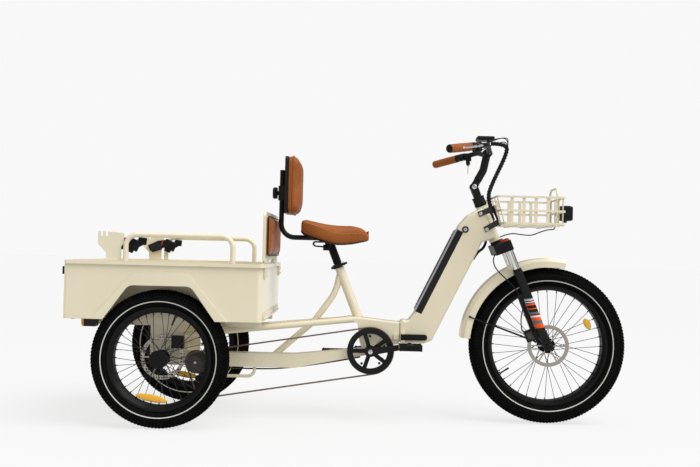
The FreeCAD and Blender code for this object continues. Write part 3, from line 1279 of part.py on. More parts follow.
def fork_crown():
    """Crown with steerer and stanchions, and the adjuster caps on top."""
    crown = block(-AXIS_SET - HEAD_R - 2, LEG_R - LEG_SET, -LEG_Y - LEG_R, LEG_Y + LEG_R,
                  CROWN_BASE, CROWN_TOP)
    uprights = [e for e in crown.Edges if abs(e.CenterOfMass.z - (CROWN_BASE + CROWN_TOP) / 2) < 1]
    crown = crown.makeFillet(16.0, uprights)
    crown = crown.fuse(rod(v(-AXIS_SET, 0, CROWN_TOP), v(-AXIS_SET, 0, HEAD_BASE - CLEAR), HEAD_R - 2))
    crown = crown.fuse(rod(v(-AXIS_SET, 0, CROWN_TOP), v(-AXIS_SET, 0, HEAD_TOP + 40), STEERER_R))
    caps = []
    for side, out in SIDES:
        y = out * LEG_Y
        crown = crown.fuse(rod(v(-LEG_SET, y, STANCHION_END), v(-LEG_SET, y, CROWN_BASE), STANCHION_R))
        cap = rod(v(-LEG_SET, y, CROWN_TOP), v(-LEG_SET, y, CROWN_TOP + CAP_H), STANCHION_R)
        caps.append(on_fork(cap))
    save("fork_crown", on_fork(crown.removeSplitter()), *caps)


def fork_arch():
    return block(-LEG_SET - 10, 10 - LEG_SET, -LEG_Y, LEG_Y, FRONT_TYRE_R + 5, FRONT_TYRE_R + 27)


def fork_lowers():
    """Sliding legs with their bridge, dropouts, front axle and disc caliper."""
    lowers = fork_arch()
    for side, out in SIDES:
        y = out * LEG_Y
        leg = rod(v(-LEG_SET, y, 40), v(-LEG_SET, y, LEG_TOP), LEG_R)
        bore = rod(v(-LEG_SET, y, STANCHION_END - FORK_TRAVEL - 6), v(-LEG_SET, y, LEG_TOP + 30),
                   STANCHION_R + RUN)
        y0, y1 = sorted((out * (LEG_Y - LEG_R + 4), out * (LEG_Y - LEG_R + 14)))
        foot = block(-LEG_SET - 14, 14, y0, y1, -16, 70)
        lowers = lowers.fuse(leg).fuse(foot).cut(bore)
    lowers = lowers.fuse(rod(v(0, -LEG_Y, 0), v(0, LEG_Y, 0), FRONT_AXLE_R))
    disc_y = -HUB_INNER - ROTOR_T / 2
    caliper = block(-78, -38, disc_y - 13, disc_y + 11, 46, 96)
    caliper = caliper.cut(block(-79, 0, disc_y - 2.5, disc_y + 2.5, 0, 91))
    arm = block(-44, -LEG_SET, -LEG_Y, disc_y - 8, 58, 84)
    caliper = caliper.fuse(arm).cut(rod(v(-LEG_SET, -LEG_Y, 40), v(-LEG_SET, -LEG_Y, LEG_TOP), LEG_R))
    lowers = lowers.fuse(caliper)
    save("fork_lowers", on_fork(lowers.removeSplitter()))


def fender():
    """Front mudguard over the tyre, notched on the fork bridge, with its two stays."""
    half = FENDER_HALF
    inner = FENDER_R - FENDER_T
    edge = FENDER_R - FENDER_SKIRT
    turn = FENDER_CORNER
    left = [(edge, -half), (FENDER_R - turn, -half), (FENDER_R, turn - half)]
    left_inner = [(inner, turn - half), (inner - turn + 1, FENDER_T - half), (edge, FENDER_T - half)]
    right = [(r, -y) for r, y in reversed(left)]
    right_inner = [(r, -y) for r, y in reversed(left_inner)]
    profile = left + right + right_inner + left_inner
    corners = [v(r, y, 0) for r, y in profile]
    face = Part.Face(Part.makePolygon(corners + corners[:1]))
    face = face.rotated(v(0, 0, 0), v(0, -1, 0), FENDER_FROM_DEG)
    guard = face.revolve(v(0, 0, 0), v(0, -1, 0), FENDER_SPAN_DEG).translated(FRONT_AXLE)
    guard = guard.cut(on_fork(fork_arch()))
    stays = []
    angle = math.radians(FENDER_STAY_DEG)
    reach = FENDER_R - FENDER_STAY_SET
    for side, out in SIDES:
        high = FRONT_AXLE + v(reach * math.cos(angle), out * (half + FENDER_STAY_R), reach * math.sin(angle))
        low = fork_point(-LEG_SET - 15.5, out * (LEG_Y - LEG_R + 6), 20)
        stays.append(rod(high, low, FENDER_STAY_R))
    save("fender", guard, *stays)


def stem_base():
    """Clamp on the steerer with the two cheeks of the stem's angle joint."""
    base = rod(v(-AXIS_SET, 0, HEAD_TOP + CLEAR), v(-AXIS_SET, 0, HEAD_TOP + 42), HEAD_R + 2)
    base = base.fuse(rod(v(-AXIS_SET, 0, HEAD_TOP + 42), v(-AXIS_SET, 0, ELBOW_ALONG - 24), STEM_R + 1))
    wide = STEM_TONGUE + CLEAR + STEM_EAR
    base = base.fuse(block(-AXIS_SET - 16, 16 - AXIS_SET, -wide, wide, ELBOW_ALONG - 36,
                           ELBOW_ALONG - 23))
    for side, out in SIDES:
        y0, y1 = sorted((out * (STEM_TONGUE + CLEAR), out * wide))
        base = base.fuse(block(-AXIS_SET - 16, 16 - AXIS_SET, y0, y1, ELBOW_ALONG - 30, ELBOW_ALONG))
        base = base.fuse(rod(v(-AXIS_SET, y0, ELBOW_ALONG), v(-AXIS_SET, y1, ELBOW_ALONG), STEM_EYE_R))
    base = base.fuse(rod(v(-AXIS_SET, -wide - 3, ELBOW_ALONG), v(-AXIS_SET, wide + 3, ELBOW_ALONG),
                         STEM_PIN_R))
    base = base.cut(rod(v(-AXIS_SET, 0, HEAD_TOP), v(-AXIS_SET, 0, HEAD_TOP + 40), STEERER_R))
    save("stem_base", on_fork(base.removeSplitter()))


def stem_upper():
    """Upper stem from the angle joint to the bar clamp."""
    elbow = fork_point(-AXIS_SET, 0, ELBOW_ALONG)
    bend = v(BAR_X - STEM_BEND[0], 0, BAR_Z - STEM_BEND[1])
    clamp = v(BAR_X, 0, BAR_Z)
    lean = (bend - elbow).normalize()
    across = v(lean.z, 0, -lean.x) * (STEM_EYE_R - 1)
    top = elbow + lean * 50
    corners = [elbow + across, top + across, top - across, elbow - across]
    half = v(0, STEM_TONGUE, 0)
    ring_half = v(0, 28, 0)
    tongue = slab([(p.x, p.z) for p in corners], -STEM_TONGUE, STEM_TONGUE)
    tongue = tongue.fuse(rod(elbow - half, elbow + half, STEM_EYE_R + 2))
    arm = pipe([elbow + lean * 34, bend, clamp], STEM_R, STEM_BEND_R)
    ring = rod(clamp - ring_half, clamp + ring_half, BAR_R + 9)
    shape = tongue.fuse(arm).fuse(ring).cut(rod(clamp - ring_half * 2, clamp + ring_half * 2, BAR_R))
    shape = shape.cut(rod(elbow - half * 2, elbow + half * 2, STEM_PIN_R + RUN))
    save("stem_upper", shape.removeSplitter())


def bar_side(out):
    """Tip of the bar on one side, with the directions along, ahead of and above the grip."""
    tip = v(BAR_TIP_X, out * BAR_TIP_Y, BAR_TIP_Z)
    along = (v(BAR_RISE_X, out * BAR_RISE_Y, BAR_RISE_Z) - tip).normalize()
    ahead = v(-out * along.y, out * along.x, 0).normalize()
    above = along.cross(ahead) * out
    return tip, along, ahead, above


def handlebar():
    """Swept bar with the two lever perches and the display on its bracket."""
    points = []
    for side, out in reversed(SIDES):
        half = [v(BAR_TIP_X, out * BAR_TIP_Y, BAR_TIP_Z), v(BAR_RISE_X, out * BAR_RISE_Y, BAR_RISE_Z),
                v(BAR_X, out * BAR_MID_Y, BAR_Z)]
        points += half if out < 0 else half[::-1]
    solids = [pipe(points, BAR_R, BAR_BEND)]
    for side, out in SIDES:
        tip, along, ahead, above = bar_side(out)
        centre = tip + along * PERCH_S
        pivot = centre + ahead * LEVER_REACH
        perch = rod(centre - along * 12, centre + along * 12, BAR_R + 6)
        for up in (1, -1):
            rise = above * (up * (LEVER_T / 2 + CLEAR + 2.0))
            perch = perch.fuse(rod(centre + rise + ahead * 12, pivot + rise, 1.5))
            cheek = pivot + above * (up * (LEVER_T / 2 + CLEAR))
            perch = perch.fuse(rod(cheek, pivot + above * (up * LEVER_T), LEVER_EYE_R))
        pin = above * (LEVER_T + 1)
        perch = perch.fuse(rod(pivot - pin, pivot + pin, LEVER_PIN_R))
        perch = perch.cut(rod(centre - along * 20, centre + along * 20, BAR_R))
        solids.append(perch.removeSplitter())
    ring = rod(v(BAR_X, -46, BAR_Z), v(BAR_X, -32, BAR_Z), BAR_R + 5)
    post = ring.fuse(block(BAR_X - 6, BAR_X + 6, -46, -32, BAR_Z, DISPLAY_Z))
    solids.append(post.cut(rod(v(BAR_X, -60, BAR_Z), v(BAR_X, 0, BAR_Z), BAR_R)).removeSplitter())
    screen = block(BAR_X - 48, BAR_X + 26, -50, 34, DISPLAY_Z, DISPLAY_Z + DISPLAY_T)
    solids.append(screen.makeFillet(5.0, screen.Edges))
    save("handlebar", *solids)


def grips():
    sleeves = []
    for side, out in SIDES:
        tip, along, ahead, above = bar_side(out)
        sleeves.append(sleeve(tip, tip + along * GRIP_L, GRIP_R, BAR_R))
    save("grips", *sleeves)


def brake_levers():
    """Levers on the pins of the perches, reaching out in front of the grips."""
    for side, out in SIDES:
        tip, along, ahead, above = bar_side(out)
        pivot = tip + along * PERCH_S + ahead * LEVER_REACH
        half = above * (LEVER_T / 2)
        eye = rod(pivot - half, pivot + half, LEVER_EYE_R)
        blade = pipe([pivot, tip + along * 112 + ahead * 44, tip + along * 28 + ahead * LEVER_TIP],
                     LEVER_T / 2 - 0.5, 60.0)
        hole = rod(pivot - half * 2, pivot + half * 2, LEVER_PIN_R + RUN)
        lever = eye.fuse(blade).cut(hole)
        save("brake_lever_" + side, lever.removeSplitter())


def throttle():
    """Thumb ring on the left of the bar."""
    tip, along, ahead, above = bar_side(1)
    start = tip + along * (PERCH_S + 18)
    end = start + along * THROTTLE_W
    middle = (start + end) * 0.5
    paddle = rod(middle - ahead * (BAR_R + 2), middle - ahead * (BAR_R + 20) - above * 6, 3.5)
    ring = rod(start, end, BAR_R + 5).fuse(paddle).cut(rod(start, end, BAR_R + RUN))
    save("throttle", ring.removeSplitter())


def harness():
    """Wrapped cable bundle from the display down to the clip at the head."""
    start_z = DISPLAY_Z - HARNESS_R - CLEAR
    points = [v(BAR_X + HARNESS_START, 0, start_z), v(BAR_X + HARNESS_TURN, 0, start_z)]
    points += [v(BAR_X + run, 0, BAR_Z + rise) for run, rise in HARNESS_ROUTE]
    points += [fork_point(-HARNESS_SET, 0, HEAD_TOP + HARNESS_FOOT),
               fork_point(-HARNESS_SET, 0, CLIP_ALONG + CLEAR)]
    save("harness", pipe(points, HARNESS_R, HARNESS_BEND))


# Seat

def seat_post():
    """Post that slides in the seat tube, drawn with the seat tube upright."""
    save("seat_post", on_seat(rod(v(0, 0, SEAT_TUBE_L - POST_IN), v(0, 0, POST_TOP), POST_R)))


def bellows():
    """Ribbed boot round the post between the collar and the saddle clamp."""
    low = SEAT_TUBE_L + COLLAR_UP + CLEAR
    pitch = (POST_TOP - CLAMP_LAP - CLEAR - low) / BELLOWS_RIBS
    profile = [(POST_R, low)]
    for i in range(BELLOWS_RIBS):
        profile.append((BELLOWS_R - 4, low + pitch * i))
        profile.append((BELLOWS_R, low + pitch * (i + 0.5)))
    high = low + pitch * BELLOWS_RIBS
    profile += [(BELLOWS_R - 4, high), (POST_R, high)]
    boot = turned(profile, v(0, 0, 0)).rotated(v(0, 0, 0), v(1, 0, 0), 90)
    save("bellows", on_seat(boot))


def saddle_section(x, top, edge, base, half):
    """Closed section of the saddle across its length at one place."""
    hollow = min(SADDLE_HOLLOW, 0.6 * (edge - base))
    foot = half * 0.93
    low_right = v(x, -foot, base)
    low_left = v(x, foot, base)
    right = v(x, -half, edge)
    left = v(x, half, edge)
    edges = [Part.Arc(low_left, v(x, 0, base + hollow), low_right).toShape(),
             Part.LineSegment(low_right, right).toShape(),
             Part.Arc(right, v(x, 0, top), left).toShape(),
             Part.LineSegment(left, low_left).toShape()]
    return Part.Wire(edges)


def saddle_blank():
    """Saddle lofted through sections: place along it, drops from its top, and width."""
    stations = ((0.00, 0, 12, 46, 0.88), (0.15, 5, 22, 63, 1.00), (0.35, 13, 36, 83, 0.94),
                (0.55, 11, 38, 96, 0.68), (0.72, 7, 32, 92, 0.42), (0.88, 15, 34, 80, 0.31),
                (1.00, 40, 50, 66, 0.18))
    sections = []
    for run, top, edge, base, wide in stations:
        x = SADDLE_REAR + run * (SADDLE_NOSE - SADDLE_REAR)
        heights = [SADDLE_TOP - drop for drop in (top, edge, base)]
        sections.append(saddle_section(x, *heights, wide * SADDLE_HALF))
    return Part.makeLoft(sections, True, False)


def saddle():
    """Sprung saddle with a dished top and drawn-in flanks."""
    save("saddle", saddle_blank())


def backrest_tube():
    """Clamp that slides on the post, and the bent tube that carries the backrest."""
    low = POST_TOP - CLAMP_LAP
    tube = pipe([v(CLAMP_X, 0, BACK_TUBE_Z), v(BACK_TUBE_X, 0, BACK_TUBE_Z),
                 v(BACK_TUBE_X, 0, BACK_TUBE_TOP)], BACK_TUBE_R, BACK_TUBE_BEND)
    clamp = on_seat(rod(v(0, 0, low), v(0, 0, low + CLAMP_LAP + SEAT_TRAVEL + 6), POST_R + 7))
    clamp = clamp.fuse(block(CLAMP_X - 34, CLAMP_X + 40, -CLAMP_HALF, CLAMP_HALF, BACK_TUBE_Z - 18,
                             BACK_TUBE_Z + SADDLE_HOLLOW))
    bore = on_seat(rod(v(0, 0, low - 10), v(0, 0, POST_TOP + SEAT_TRAVEL + 1), POST_R + RUN))
    save("backrest_tube", tube.fuse(clamp).cut(saddle_blank()).cut(bore).removeSplitter())


def backrest():
    """Backrest shell with its sliding clamp, the pad and the clamp's knob."""
    x = BACK_SHELL_X
    shell = block(x, x + BACK_SHELL_T, -BACK_HALF + 3, BACK_HALF - 3, BACK_BASE + 3, BACK_TOP - 3)
    corners = [e for e in shell.Edges if abs(e.CenterOfMass.x - x - BACK_SHELL_T / 2) < 1]
    shell = shell.makeFillet(BACK_CORNER - 3, corners)
    rear = BACK_TUBE_X - BACK_TUBE_R - 4
    mount = block(rear, x, -18, 18, KNOB_Z - MOUNT_HALF, KNOB_Z + MOUNT_HALF)
    low = v(BACK_TUBE_X, 0, KNOB_Z - MOUNT_HALF - 1)
    bore = rod(low, low + v(0, 0, 2 * MOUNT_HALF + 2), BACK_TUBE_R + RUN)
    save("backrest_shell", shell.fuse(mount).cut(bore).removeSplitter())
    pad = cushion(BACK_HALF, BACK_BASE, BACK_TOP, x + BACK_SHELL_T, BACK_PAD_T, BACK_CORNER)
    save("backrest_pad", pad)
    knob = rod(v(rear - CLEAR, 0, KNOB_Z), v(rear - 25, 0, KNOB_Z), KNOB_R)
    save("backrest_knob", knob)


os.makedirs("parts", exist_ok=True)
rear_wheels()
front_wheel()
cargo_box()
tailgate()
guard_rails()
seat_belts()
fold_panel()
tail_lamps()
rear_subframe()
rear_stays()
seat_tube()
main_beam()
fold_latch()
chain()
derailleur()
cassette()
crankset()
pedals()
chainring()
rear_calipers()
frame_cables()
battery()
down_tube()
head_tube()
basket()
headlight()
front_cables()
fork_crown()
fork_lowers()
fender()
stem_base()
stem_upper()
handlebar()
grips()
brake_levers()
throttle()
harness()
seat_post()
bellows()
saddle()
backrest_tube()
backrest()
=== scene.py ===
import bpy, bmesh, math
from mathutils import Matrix, Vector


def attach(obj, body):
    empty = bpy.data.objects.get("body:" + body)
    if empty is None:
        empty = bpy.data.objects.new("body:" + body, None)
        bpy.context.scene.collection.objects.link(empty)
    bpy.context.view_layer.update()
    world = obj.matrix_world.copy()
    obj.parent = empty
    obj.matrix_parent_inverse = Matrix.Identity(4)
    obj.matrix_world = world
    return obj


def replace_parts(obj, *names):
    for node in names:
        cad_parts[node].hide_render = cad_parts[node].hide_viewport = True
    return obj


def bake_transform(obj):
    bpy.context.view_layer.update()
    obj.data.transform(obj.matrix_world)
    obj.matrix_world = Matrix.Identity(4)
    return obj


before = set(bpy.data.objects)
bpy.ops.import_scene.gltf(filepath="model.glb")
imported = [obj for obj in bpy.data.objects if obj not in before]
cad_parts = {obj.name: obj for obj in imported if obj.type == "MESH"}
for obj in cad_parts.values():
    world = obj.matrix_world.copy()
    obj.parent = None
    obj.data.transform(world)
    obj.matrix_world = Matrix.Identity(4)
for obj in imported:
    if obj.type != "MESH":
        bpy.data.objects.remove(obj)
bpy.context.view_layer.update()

# Camera, floor and studio light. The camera stands well back on the drive side at saddle
# height and looks square across the tricycle, a little rolled, as the picture was taken.
REAR_AXLE_X = -0.781
LENS_MM = 48.41
FLOOR_SIZE = 60
FLOOR_GREY = 0.15
FLOOR_SPECKLE = 0.003
FLOOR_GLOW = 0.45
FLOOR_GLOW_SEEN = 0.74
SKY_LIGHT = 0.6
SKY_MIRRORED = 0.3
SKY_SEEN = 0.94
SUN_POWER = 2.6
SUN_ANGLE = math.radians(50)
SUN_HEADING = (-0.62, 0.34, -1.0)


def at(x, y, z):
    """Row point in metres from millimetres ahead of the rear axle, to the left and up."""
    return Vector((REAR_AXLE_X + x / 1000, y / 1000, z / 1000))


YAW, PITCH, ROLL = -0.0068, 0.0193, 0.0244
ahead = Vector((math.sin(YAW) * math.cos(PITCH), math.cos(YAW) * math.cos(PITCH), math.sin(PITCH)))
level_right = Vector((math.cos(YAW), -math.sin(YAW), 0))
level_up = level_right.cross(ahead)
right = level_right * math.cos(ROLL) + level_up * math.sin(ROLL)
up = level_up * math.cos(ROLL) - level_right * math.sin(ROLL)
camera = bpy.data.objects.new("camera", bpy.data.cameras.new("camera"))
camera.data.sensor_width = 36
camera.data.lens = LENS_MM
camera.matrix_world = Matrix((right, up, -ahead)).transposed().to_4x4()
camera.location = at(776.1, -4137.5, 726.3)
bpy.context.scene.collection.objects.link(camera)
bpy.context.scene.camera = camera
bpy.context.scene.view_settings.view_transform = "Standard"


class Value:
    """A socket inside a finish. Sums, products and comparisons of it add Math nodes."""

    def __init__(self, finish, socket):
        self.finish = finish
        self.socket = socket

    def math(self, operation, first, second):
        return self.finish.node("ShaderNodeMath", {"operation": operation}, {0: first, 1: second})

    def __add__(self, other):
        return self.math("ADD", self, other)

    def __sub__(self, other):
        return self.math("SUBTRACT", self, other)

    def __rsub__(self, other):
        return self.math("SUBTRACT", other, self)

    def __mul__(self, other):
        return self.math("MULTIPLY", self, other)

    def __gt__(self, other):
        return self.math("GREATER_THAN", self, other)

    def __lt__(self, other):
        return self.math("LESS_THAN", self, other)

    __radd__ = __add__
    __rmul__ = __mul__


class Finish:
    """A material with one Principled shader, and one way to add any other node to it."""

    def __init__(self, name, colour, roughness, metallic=0.0, coat=0.0, coat_roughness=0.1, specular=0.5):
        self.material = bpy.data.materials.new(name)
        self.material.use_nodes = True
        self.tree = self.material.node_tree
        self.shader = self.tree.nodes["Principled BSDF"]
        self.put("Base Color", (*colour, 1.0))
        self.put("Roughness", roughness)
        self.put("Metallic", metallic)
        self.put("Coat Weight", coat)
        self.put("Coat Roughness", coat_roughness)
        self.put("Specular IOR Level", specular)
        self.material.diffuse_color = (*colour, 1.0)

    def put(self, socket, value):
        """Sets or links one socket of the shader."""
        if isinstance(value, Value):
            self.tree.links.new(value.socket, self.shader.inputs[socket])
        else:
            self.shader.inputs[socket].default_value = value

    def node(self, kind, settings=None, inputs=None, output=0):
        """Adds a node and gives back one of its outputs."""
        made = self.tree.nodes.new(kind)
        for key, value in (settings or {}).items():
            setattr(made, key, value)
        for key, value in (inputs or {}).items():
            if isinstance(value, Value):
                self.tree.links.new(value.socket, made.inputs[key])
            else:
                made.inputs[key].default_value = value
        return Value(self, made.outputs[output])

    def place(self):
        return self.node("ShaderNodeTexCoord", output="Object")

    def axis(self, letter, vector=None):
        return self.node("ShaderNodeSeparateXYZ", inputs={0: vector or self.place()}, output=letter)

    def noise(self, scale, detail=2.0, roughness=0.5):
        inputs = {"Vector": self.place(), "Scale": scale, "Detail": detail, "Roughness": roughness}
        return self.node("ShaderNodeTexNoise", inputs=inputs)

    def step(self, value, low, high):
        """0 below low and 1 above high, with a smooth rise between."""
        settings = {"interpolation_type": "SMOOTHSTEP"}
        return self.node("ShaderNodeMapRange", settings, {"Value": value, "From Min": low, "From Max": high})

    def mix(self, factor, first, second):
        pair = [(*c, 1.0) if isinstance(c, tuple) else c for c in (first, second)]
        return self.node("ShaderNodeMix", {"data_type": "RGBA"}, {0: factor, 6: pair[0], 7: pair[1]}, 2)

    def bump(self, height, strength, distance, normal=None):
        inputs = {"Strength": strength, "Distance": distance, "Height": height}
        if normal:
            inputs["Normal"] = normal
        self.put("Normal", self.node("ShaderNodeBump", inputs=inputs))

    def soft_edges(self, radius):
        """Rounds the look of sharp corners on a solid."""
        return self.node("ShaderNodeBevel", {"samples": 4}, {"Radius": radius})

    def cells(self, scale, feature="F1", randomness=1.0):
        inputs = {"Vector": self.place(), "Scale": scale, "Randomness": randomness}
        return self.node("ShaderNodeTexVoronoi", {"feature": feature}, inputs)

    def waves(self, scale, direction, distortion=0.0):
        inputs = {"Vector": self.place(), "Scale": scale, "Distortion": distortion}
        return self.node("ShaderNodeTexWave", {"bands_direction": direction}, inputs)

    def sine(self, value):
        return self.node("ShaderNodeMath", {"operation": "SINE"}, {0: value})


def grey(tone):
    return (tone, tone, tone)


floor_finish = Finish("floor_paper", grey(FLOOR_GREY), 1.0, specular=0.0)
dark, pale = grey(FLOOR_GREY - FLOOR_SPECKLE), grey(FLOOR_GREY + FLOOR_SPECKLE)
floor_finish.put("Base Color", floor_finish.mix(floor_finish.noise(40.0), dark, pale))
seen, mirrored, through = (floor_finish.node("ShaderNodeLightPath", output="Is %s Ray" % ray)
                           for ray in ("Camera", "Glossy", "Transmission"))
glow = floor_finish.mix(seen + mirrored + through, grey(FLOOR_GLOW), grey(FLOOR_GLOW_SEEN))
floor_finish.put("Emission Color", glow)
floor_finish.put("Emission Strength", 1.0)
floor_mesh = bpy.data.meshes.new("floor")
shape = bmesh.new()
bmesh.ops.create_grid(shape, x_segments=2, y_segments=2, size=FLOOR_SIZE)
shape.to_mesh(floor_mesh)
shape.free()
floor_mesh.materials.append(floor_finish.material)
floor = bpy.data.objects.new("floor", floor_mesh)
bpy.context.scene.collection.objects.link(floor)

world = bpy.data.worlds.new("studio")
world.use_nodes = True
bpy.context.scene.world = world
sky = world.node_tree
sky_path = sky.nodes.new("ShaderNodeLightPath")
sky_tone = sky.nodes.new("ShaderNodeRGB").outputs[0]
sky_tone.default_value = (*grey(SKY_LIGHT), 1)
for ray, tone in (("Glossy", SKY_MIRRORED), ("Transmission", SKY_SEEN), ("Camera", SKY_SEEN)):
    sky_mix = sky.nodes.new("ShaderNodeMix")
    sky_mix.data_type = "RGBA"
    sky_mix.inputs[7].default_value = (*grey(tone), 1)
    sky.links.new(sky_path.outputs["Is %s Ray" % ray], sky_mix.inputs[0])
    sky.links.new(sky_tone, sky_mix.inputs[6])
    sky_tone = sky_mix.outputs[2]
sky.links.new(sky_tone, sky.nodes["Background"].inputs["Color"])


def soft_lamp(name, place, target, size, power):
    """A rectangular studio lamp turned to a target."""
    lamp = bpy.data.objects.new(name, bpy.data.lights.new(name, "AREA"))
    lamp.data.shape = "RECTANGLE"
    lamp.data.size = size[0]
    lamp.data.size_y = size[1]
    lamp.data.energy = power
    lamp.location = place
    lamp.rotation_euler = (Vector(target) - Vector(place)).to_track_quat("-Z", "Y").to_euler()
    bpy.context.scene.collection.objects.link(lamp)


soft_lamp("overhead", (0.0, -0.6, 4.2), (0, 0, 0.4), (4.5, 3.0), 30)
soft_lamp("front_left", (3.2, -3.6, 2.6), (0.1, 0, 0.5), (2.6, 2.2), 16)
soft_lamp("front_right", (-3.4, -3.4, 2.2), (-0.2, 0, 0.5), (2.6, 2.2), 10)
high_sun = bpy.data.objects.new("high_sun", bpy.data.lights.new("high_sun", "SUN"))
high_sun.data.energy = SUN_POWER
high_sun.data.angle = SUN_ANGLE
high_sun.rotation_euler = Vector(SUN_HEADING).to_track_quat("-Z", "Y").to_euler()
bpy.context.scene.collection.objects.link(high_sun)

# Wiring at the handlebar. The cables from the two levers and the display gather in front of
# the bar and run down to the head in one black spiral wrap.
HEAD_LEAN = math.radians(22.5)
FRONT_X, FRONT_Z = 1618, 339
ACROSS = Vector((0, 1, 0))
SIDES = (("left", 1), ("right", -1))
COAL = (0.008, 0.008, 0.0085)
INK = (0.01, 0.01, 0.0105)


def fork_at(forward, y, along):
    """Row point from millimetres ahead of the front axle, to the left and up the fork."""
    x = FRONT_X + forward * math.cos(HEAD_LEAN) - along * math.sin(HEAD_LEAN)
    return at(x, y, FRONT_Z + forward * math.sin(HEAD_LEAN) + along * math.cos(HEAD_LEAN))


def route(points, resolution=20):
    """Points along the smooth line of a cable's route."""
    curve = bpy.data.curves.new("route", "CURVE")
    curve.dimensions = "3D"
    spline = curve.splines.new("NURBS")
    spline.points.add(len(points) - 1)
    for knot, point in zip(spline.points, points):
        knot.co = (*point, 1.0)
    spline.order_u = 3
    spline.use_endpoint_u = True
    spline.resolution_u = resolution
    holder = bpy.data.objects.new("route", curve)
    mesh = bpy.data.meshes.new_from_object(holder)
    line = [vertex.co.copy() for vertex in mesh.vertices]
    bpy.data.objects.remove(holder)
    bpy.data.meshes.remove(mesh)
    return line


def hose(name, line, radius, roundness=4):
    """Round tube as a mesh along points read from a route."""
    curve = bpy.data.curves.new(name, "CURVE")
    curve.dimensions = "3D"
    curve.bevel_depth = radius
    curve.bevel_resolution = roundness
    curve.use_fill_caps = True
    spline = curve.splines.new("POLY")
    spline.points.add(len(line) - 1)
    for knot, point in zip(spline.points, line):
        knot.co = (*point, 1.0)
    holder = bpy.data.objects.new(name, curve)
    mesh = bpy.data.meshes.new_from_object(holder)
    bpy.data.objects.remove(holder)
    mesh.name = name
    made = bpy.data.objects.new(name, mesh)
    bpy.context.scene.collection.objects.link(made)
    return made


def dress(made, finish, body, sharp=35):
    """Gives a piece its finish, shading and body."""
    made.data.materials.clear()
    made.data.materials.append(finish.material)
    made.data.shade_smooth()
    made.data.set_sharp_from_angle(angle=math.radians(sharp))
    if body:
        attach(made, body)
    return made


def length_of(line):
    return sum((b - a).length for a, b in zip(line, line[1:]))


cable_finish = Finish("cable_jacket", COAL, 0.42, specular=0.2)
cable_finish.bump(cable_finish.noise(900.0, 3.0), 0.15, 0.0004)


def cable(name, line, radius, body):
    """A cable held at both ends, along its route."""
    made = dress(hose(name, line, radius), cable_finish, body)
    length_of(line)
    return made


wrap_finish = Finish("spiral_wrap", INK, 0.5, specular=0.2)
wrap_finish.put("Roughness", wrap_finish.noise(160.0) * 0.25 + 0.38)

harness_points = [at(1358, 0, 1216.7), at(1425, 0, 1216.7), at(1432, 0, 1180), at(1362, 0, 1030),
                  fork_at(-6, 0, 690), fork_at(-6, 0, 640.3)]
harness_line = route(harness_points)
split = min(range(len(harness_line)), key=lambda i: abs(harness_line[i].z - 1.03))
HARNESS_R = 0.0085
WRAP_R = 0.0021
WRAP_PITCH = 0.013
WRAP_STEPS = 8
for part, line, bodies, ends in (
        ("lower", harness_line[split:][::-1], ("front", "steer"), (fork_at(-6, 0, 655), at(1360, 0, 1015))),
        ("upper", harness_line[:split + 1][::-1], ("steer", "stem"), (at(1364, 0, 1040), at(1425, 0, 1160)))):
    core = cable("harness_" + part, line, HARNESS_R, None)
    turns = []
    run = 0.0
    for here, there in zip(line, line[1:]):
        outward = (there - here).normalized().cross(ACROSS)
        for k in range(WRAP_STEPS):
            spot = here.lerp(there, k / WRAP_STEPS)
            angle = 2 * math.pi * (run + (there - here).length * k / WRAP_STEPS) / WRAP_PITCH
            turns.append(spot + (outward * math.cos(angle) + ACROSS * math.sin(angle)) * HARNESS_R)
        run += (there - here).length
    strip = dress(hose("harness_wrap_" + part, turns, WRAP_R, 1), wrap_finish, None)
    for made in (core, strip):
        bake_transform(made)
    if part == "lower":
        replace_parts(core, "harness")

for side, out in SIDES:
    lever_points = [at(1276, out * 216, 1184), at(1318, out * 200, 1196), at(1372, out * 150, 1222),
                    at(1420, out * 70, 1236), at(1432, out * 14, 1222), at(1431, out * 6, 1196)]
    cable("lever_cable_" + side, route(lever_points), 0.0022, "stem")
display_points = [at(1366, -20, 1233), at(1392, -18, 1239), at(1421, -8, 1240), at(1434, 0, 1222),
                  at(1432, 0, 1190)]
cable("display_cable", route(display_points), 0.0019, "stem")

# Wiring low on the frame. A lamp lead runs from the head under the basket to the headlight,
# a thick bundle leaves the down tube for the head, and two cables are clipped under the beam.
lead_points = [fork_at(-17.2, 0, 513), at(1450, 0, 826), at(1500, 0, 819), at(1545, 0, 816), at(1580, 0, 832),
               at(1620, 0, 845), at(1652.8, 0, 845), at(1652.8, 0, 902)]
lead = cable("lamp_lead", route(lead_points), 0.0025, "front")
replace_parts(lead, "front_cables")
bundle_points = [at(1291, 0, 706), at(1308, 0, 738), at(1340, 0, 758), at(1346, 0, 788)]
cable("head_bundle", route(bundle_points), 0.006, "front")
for i, (y, sag) in enumerate(((4, 0), (16, 5))):
    beam_points = [at(60, y, 206), at(290, y, 203 - sag), at(519, y, 206), at(806, y, 265)]
    beam_cable = cable("beam_cable_%d" % i, route(beam_points), 0.0026, "rear")
    if i == 0:
        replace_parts(beam_cable, "frame_cables")


# Frame. Welded tubes and box beams in gloss cream paint: the rear half with its seat tube,
# stays and beam, and the front half with the deep down tube and the head tube.
def coat(finish, *nodes):
    """Puts a finish on solids that are shown as they are."""
    for node in nodes:
        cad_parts[node].material_slots[0].material = finish.material


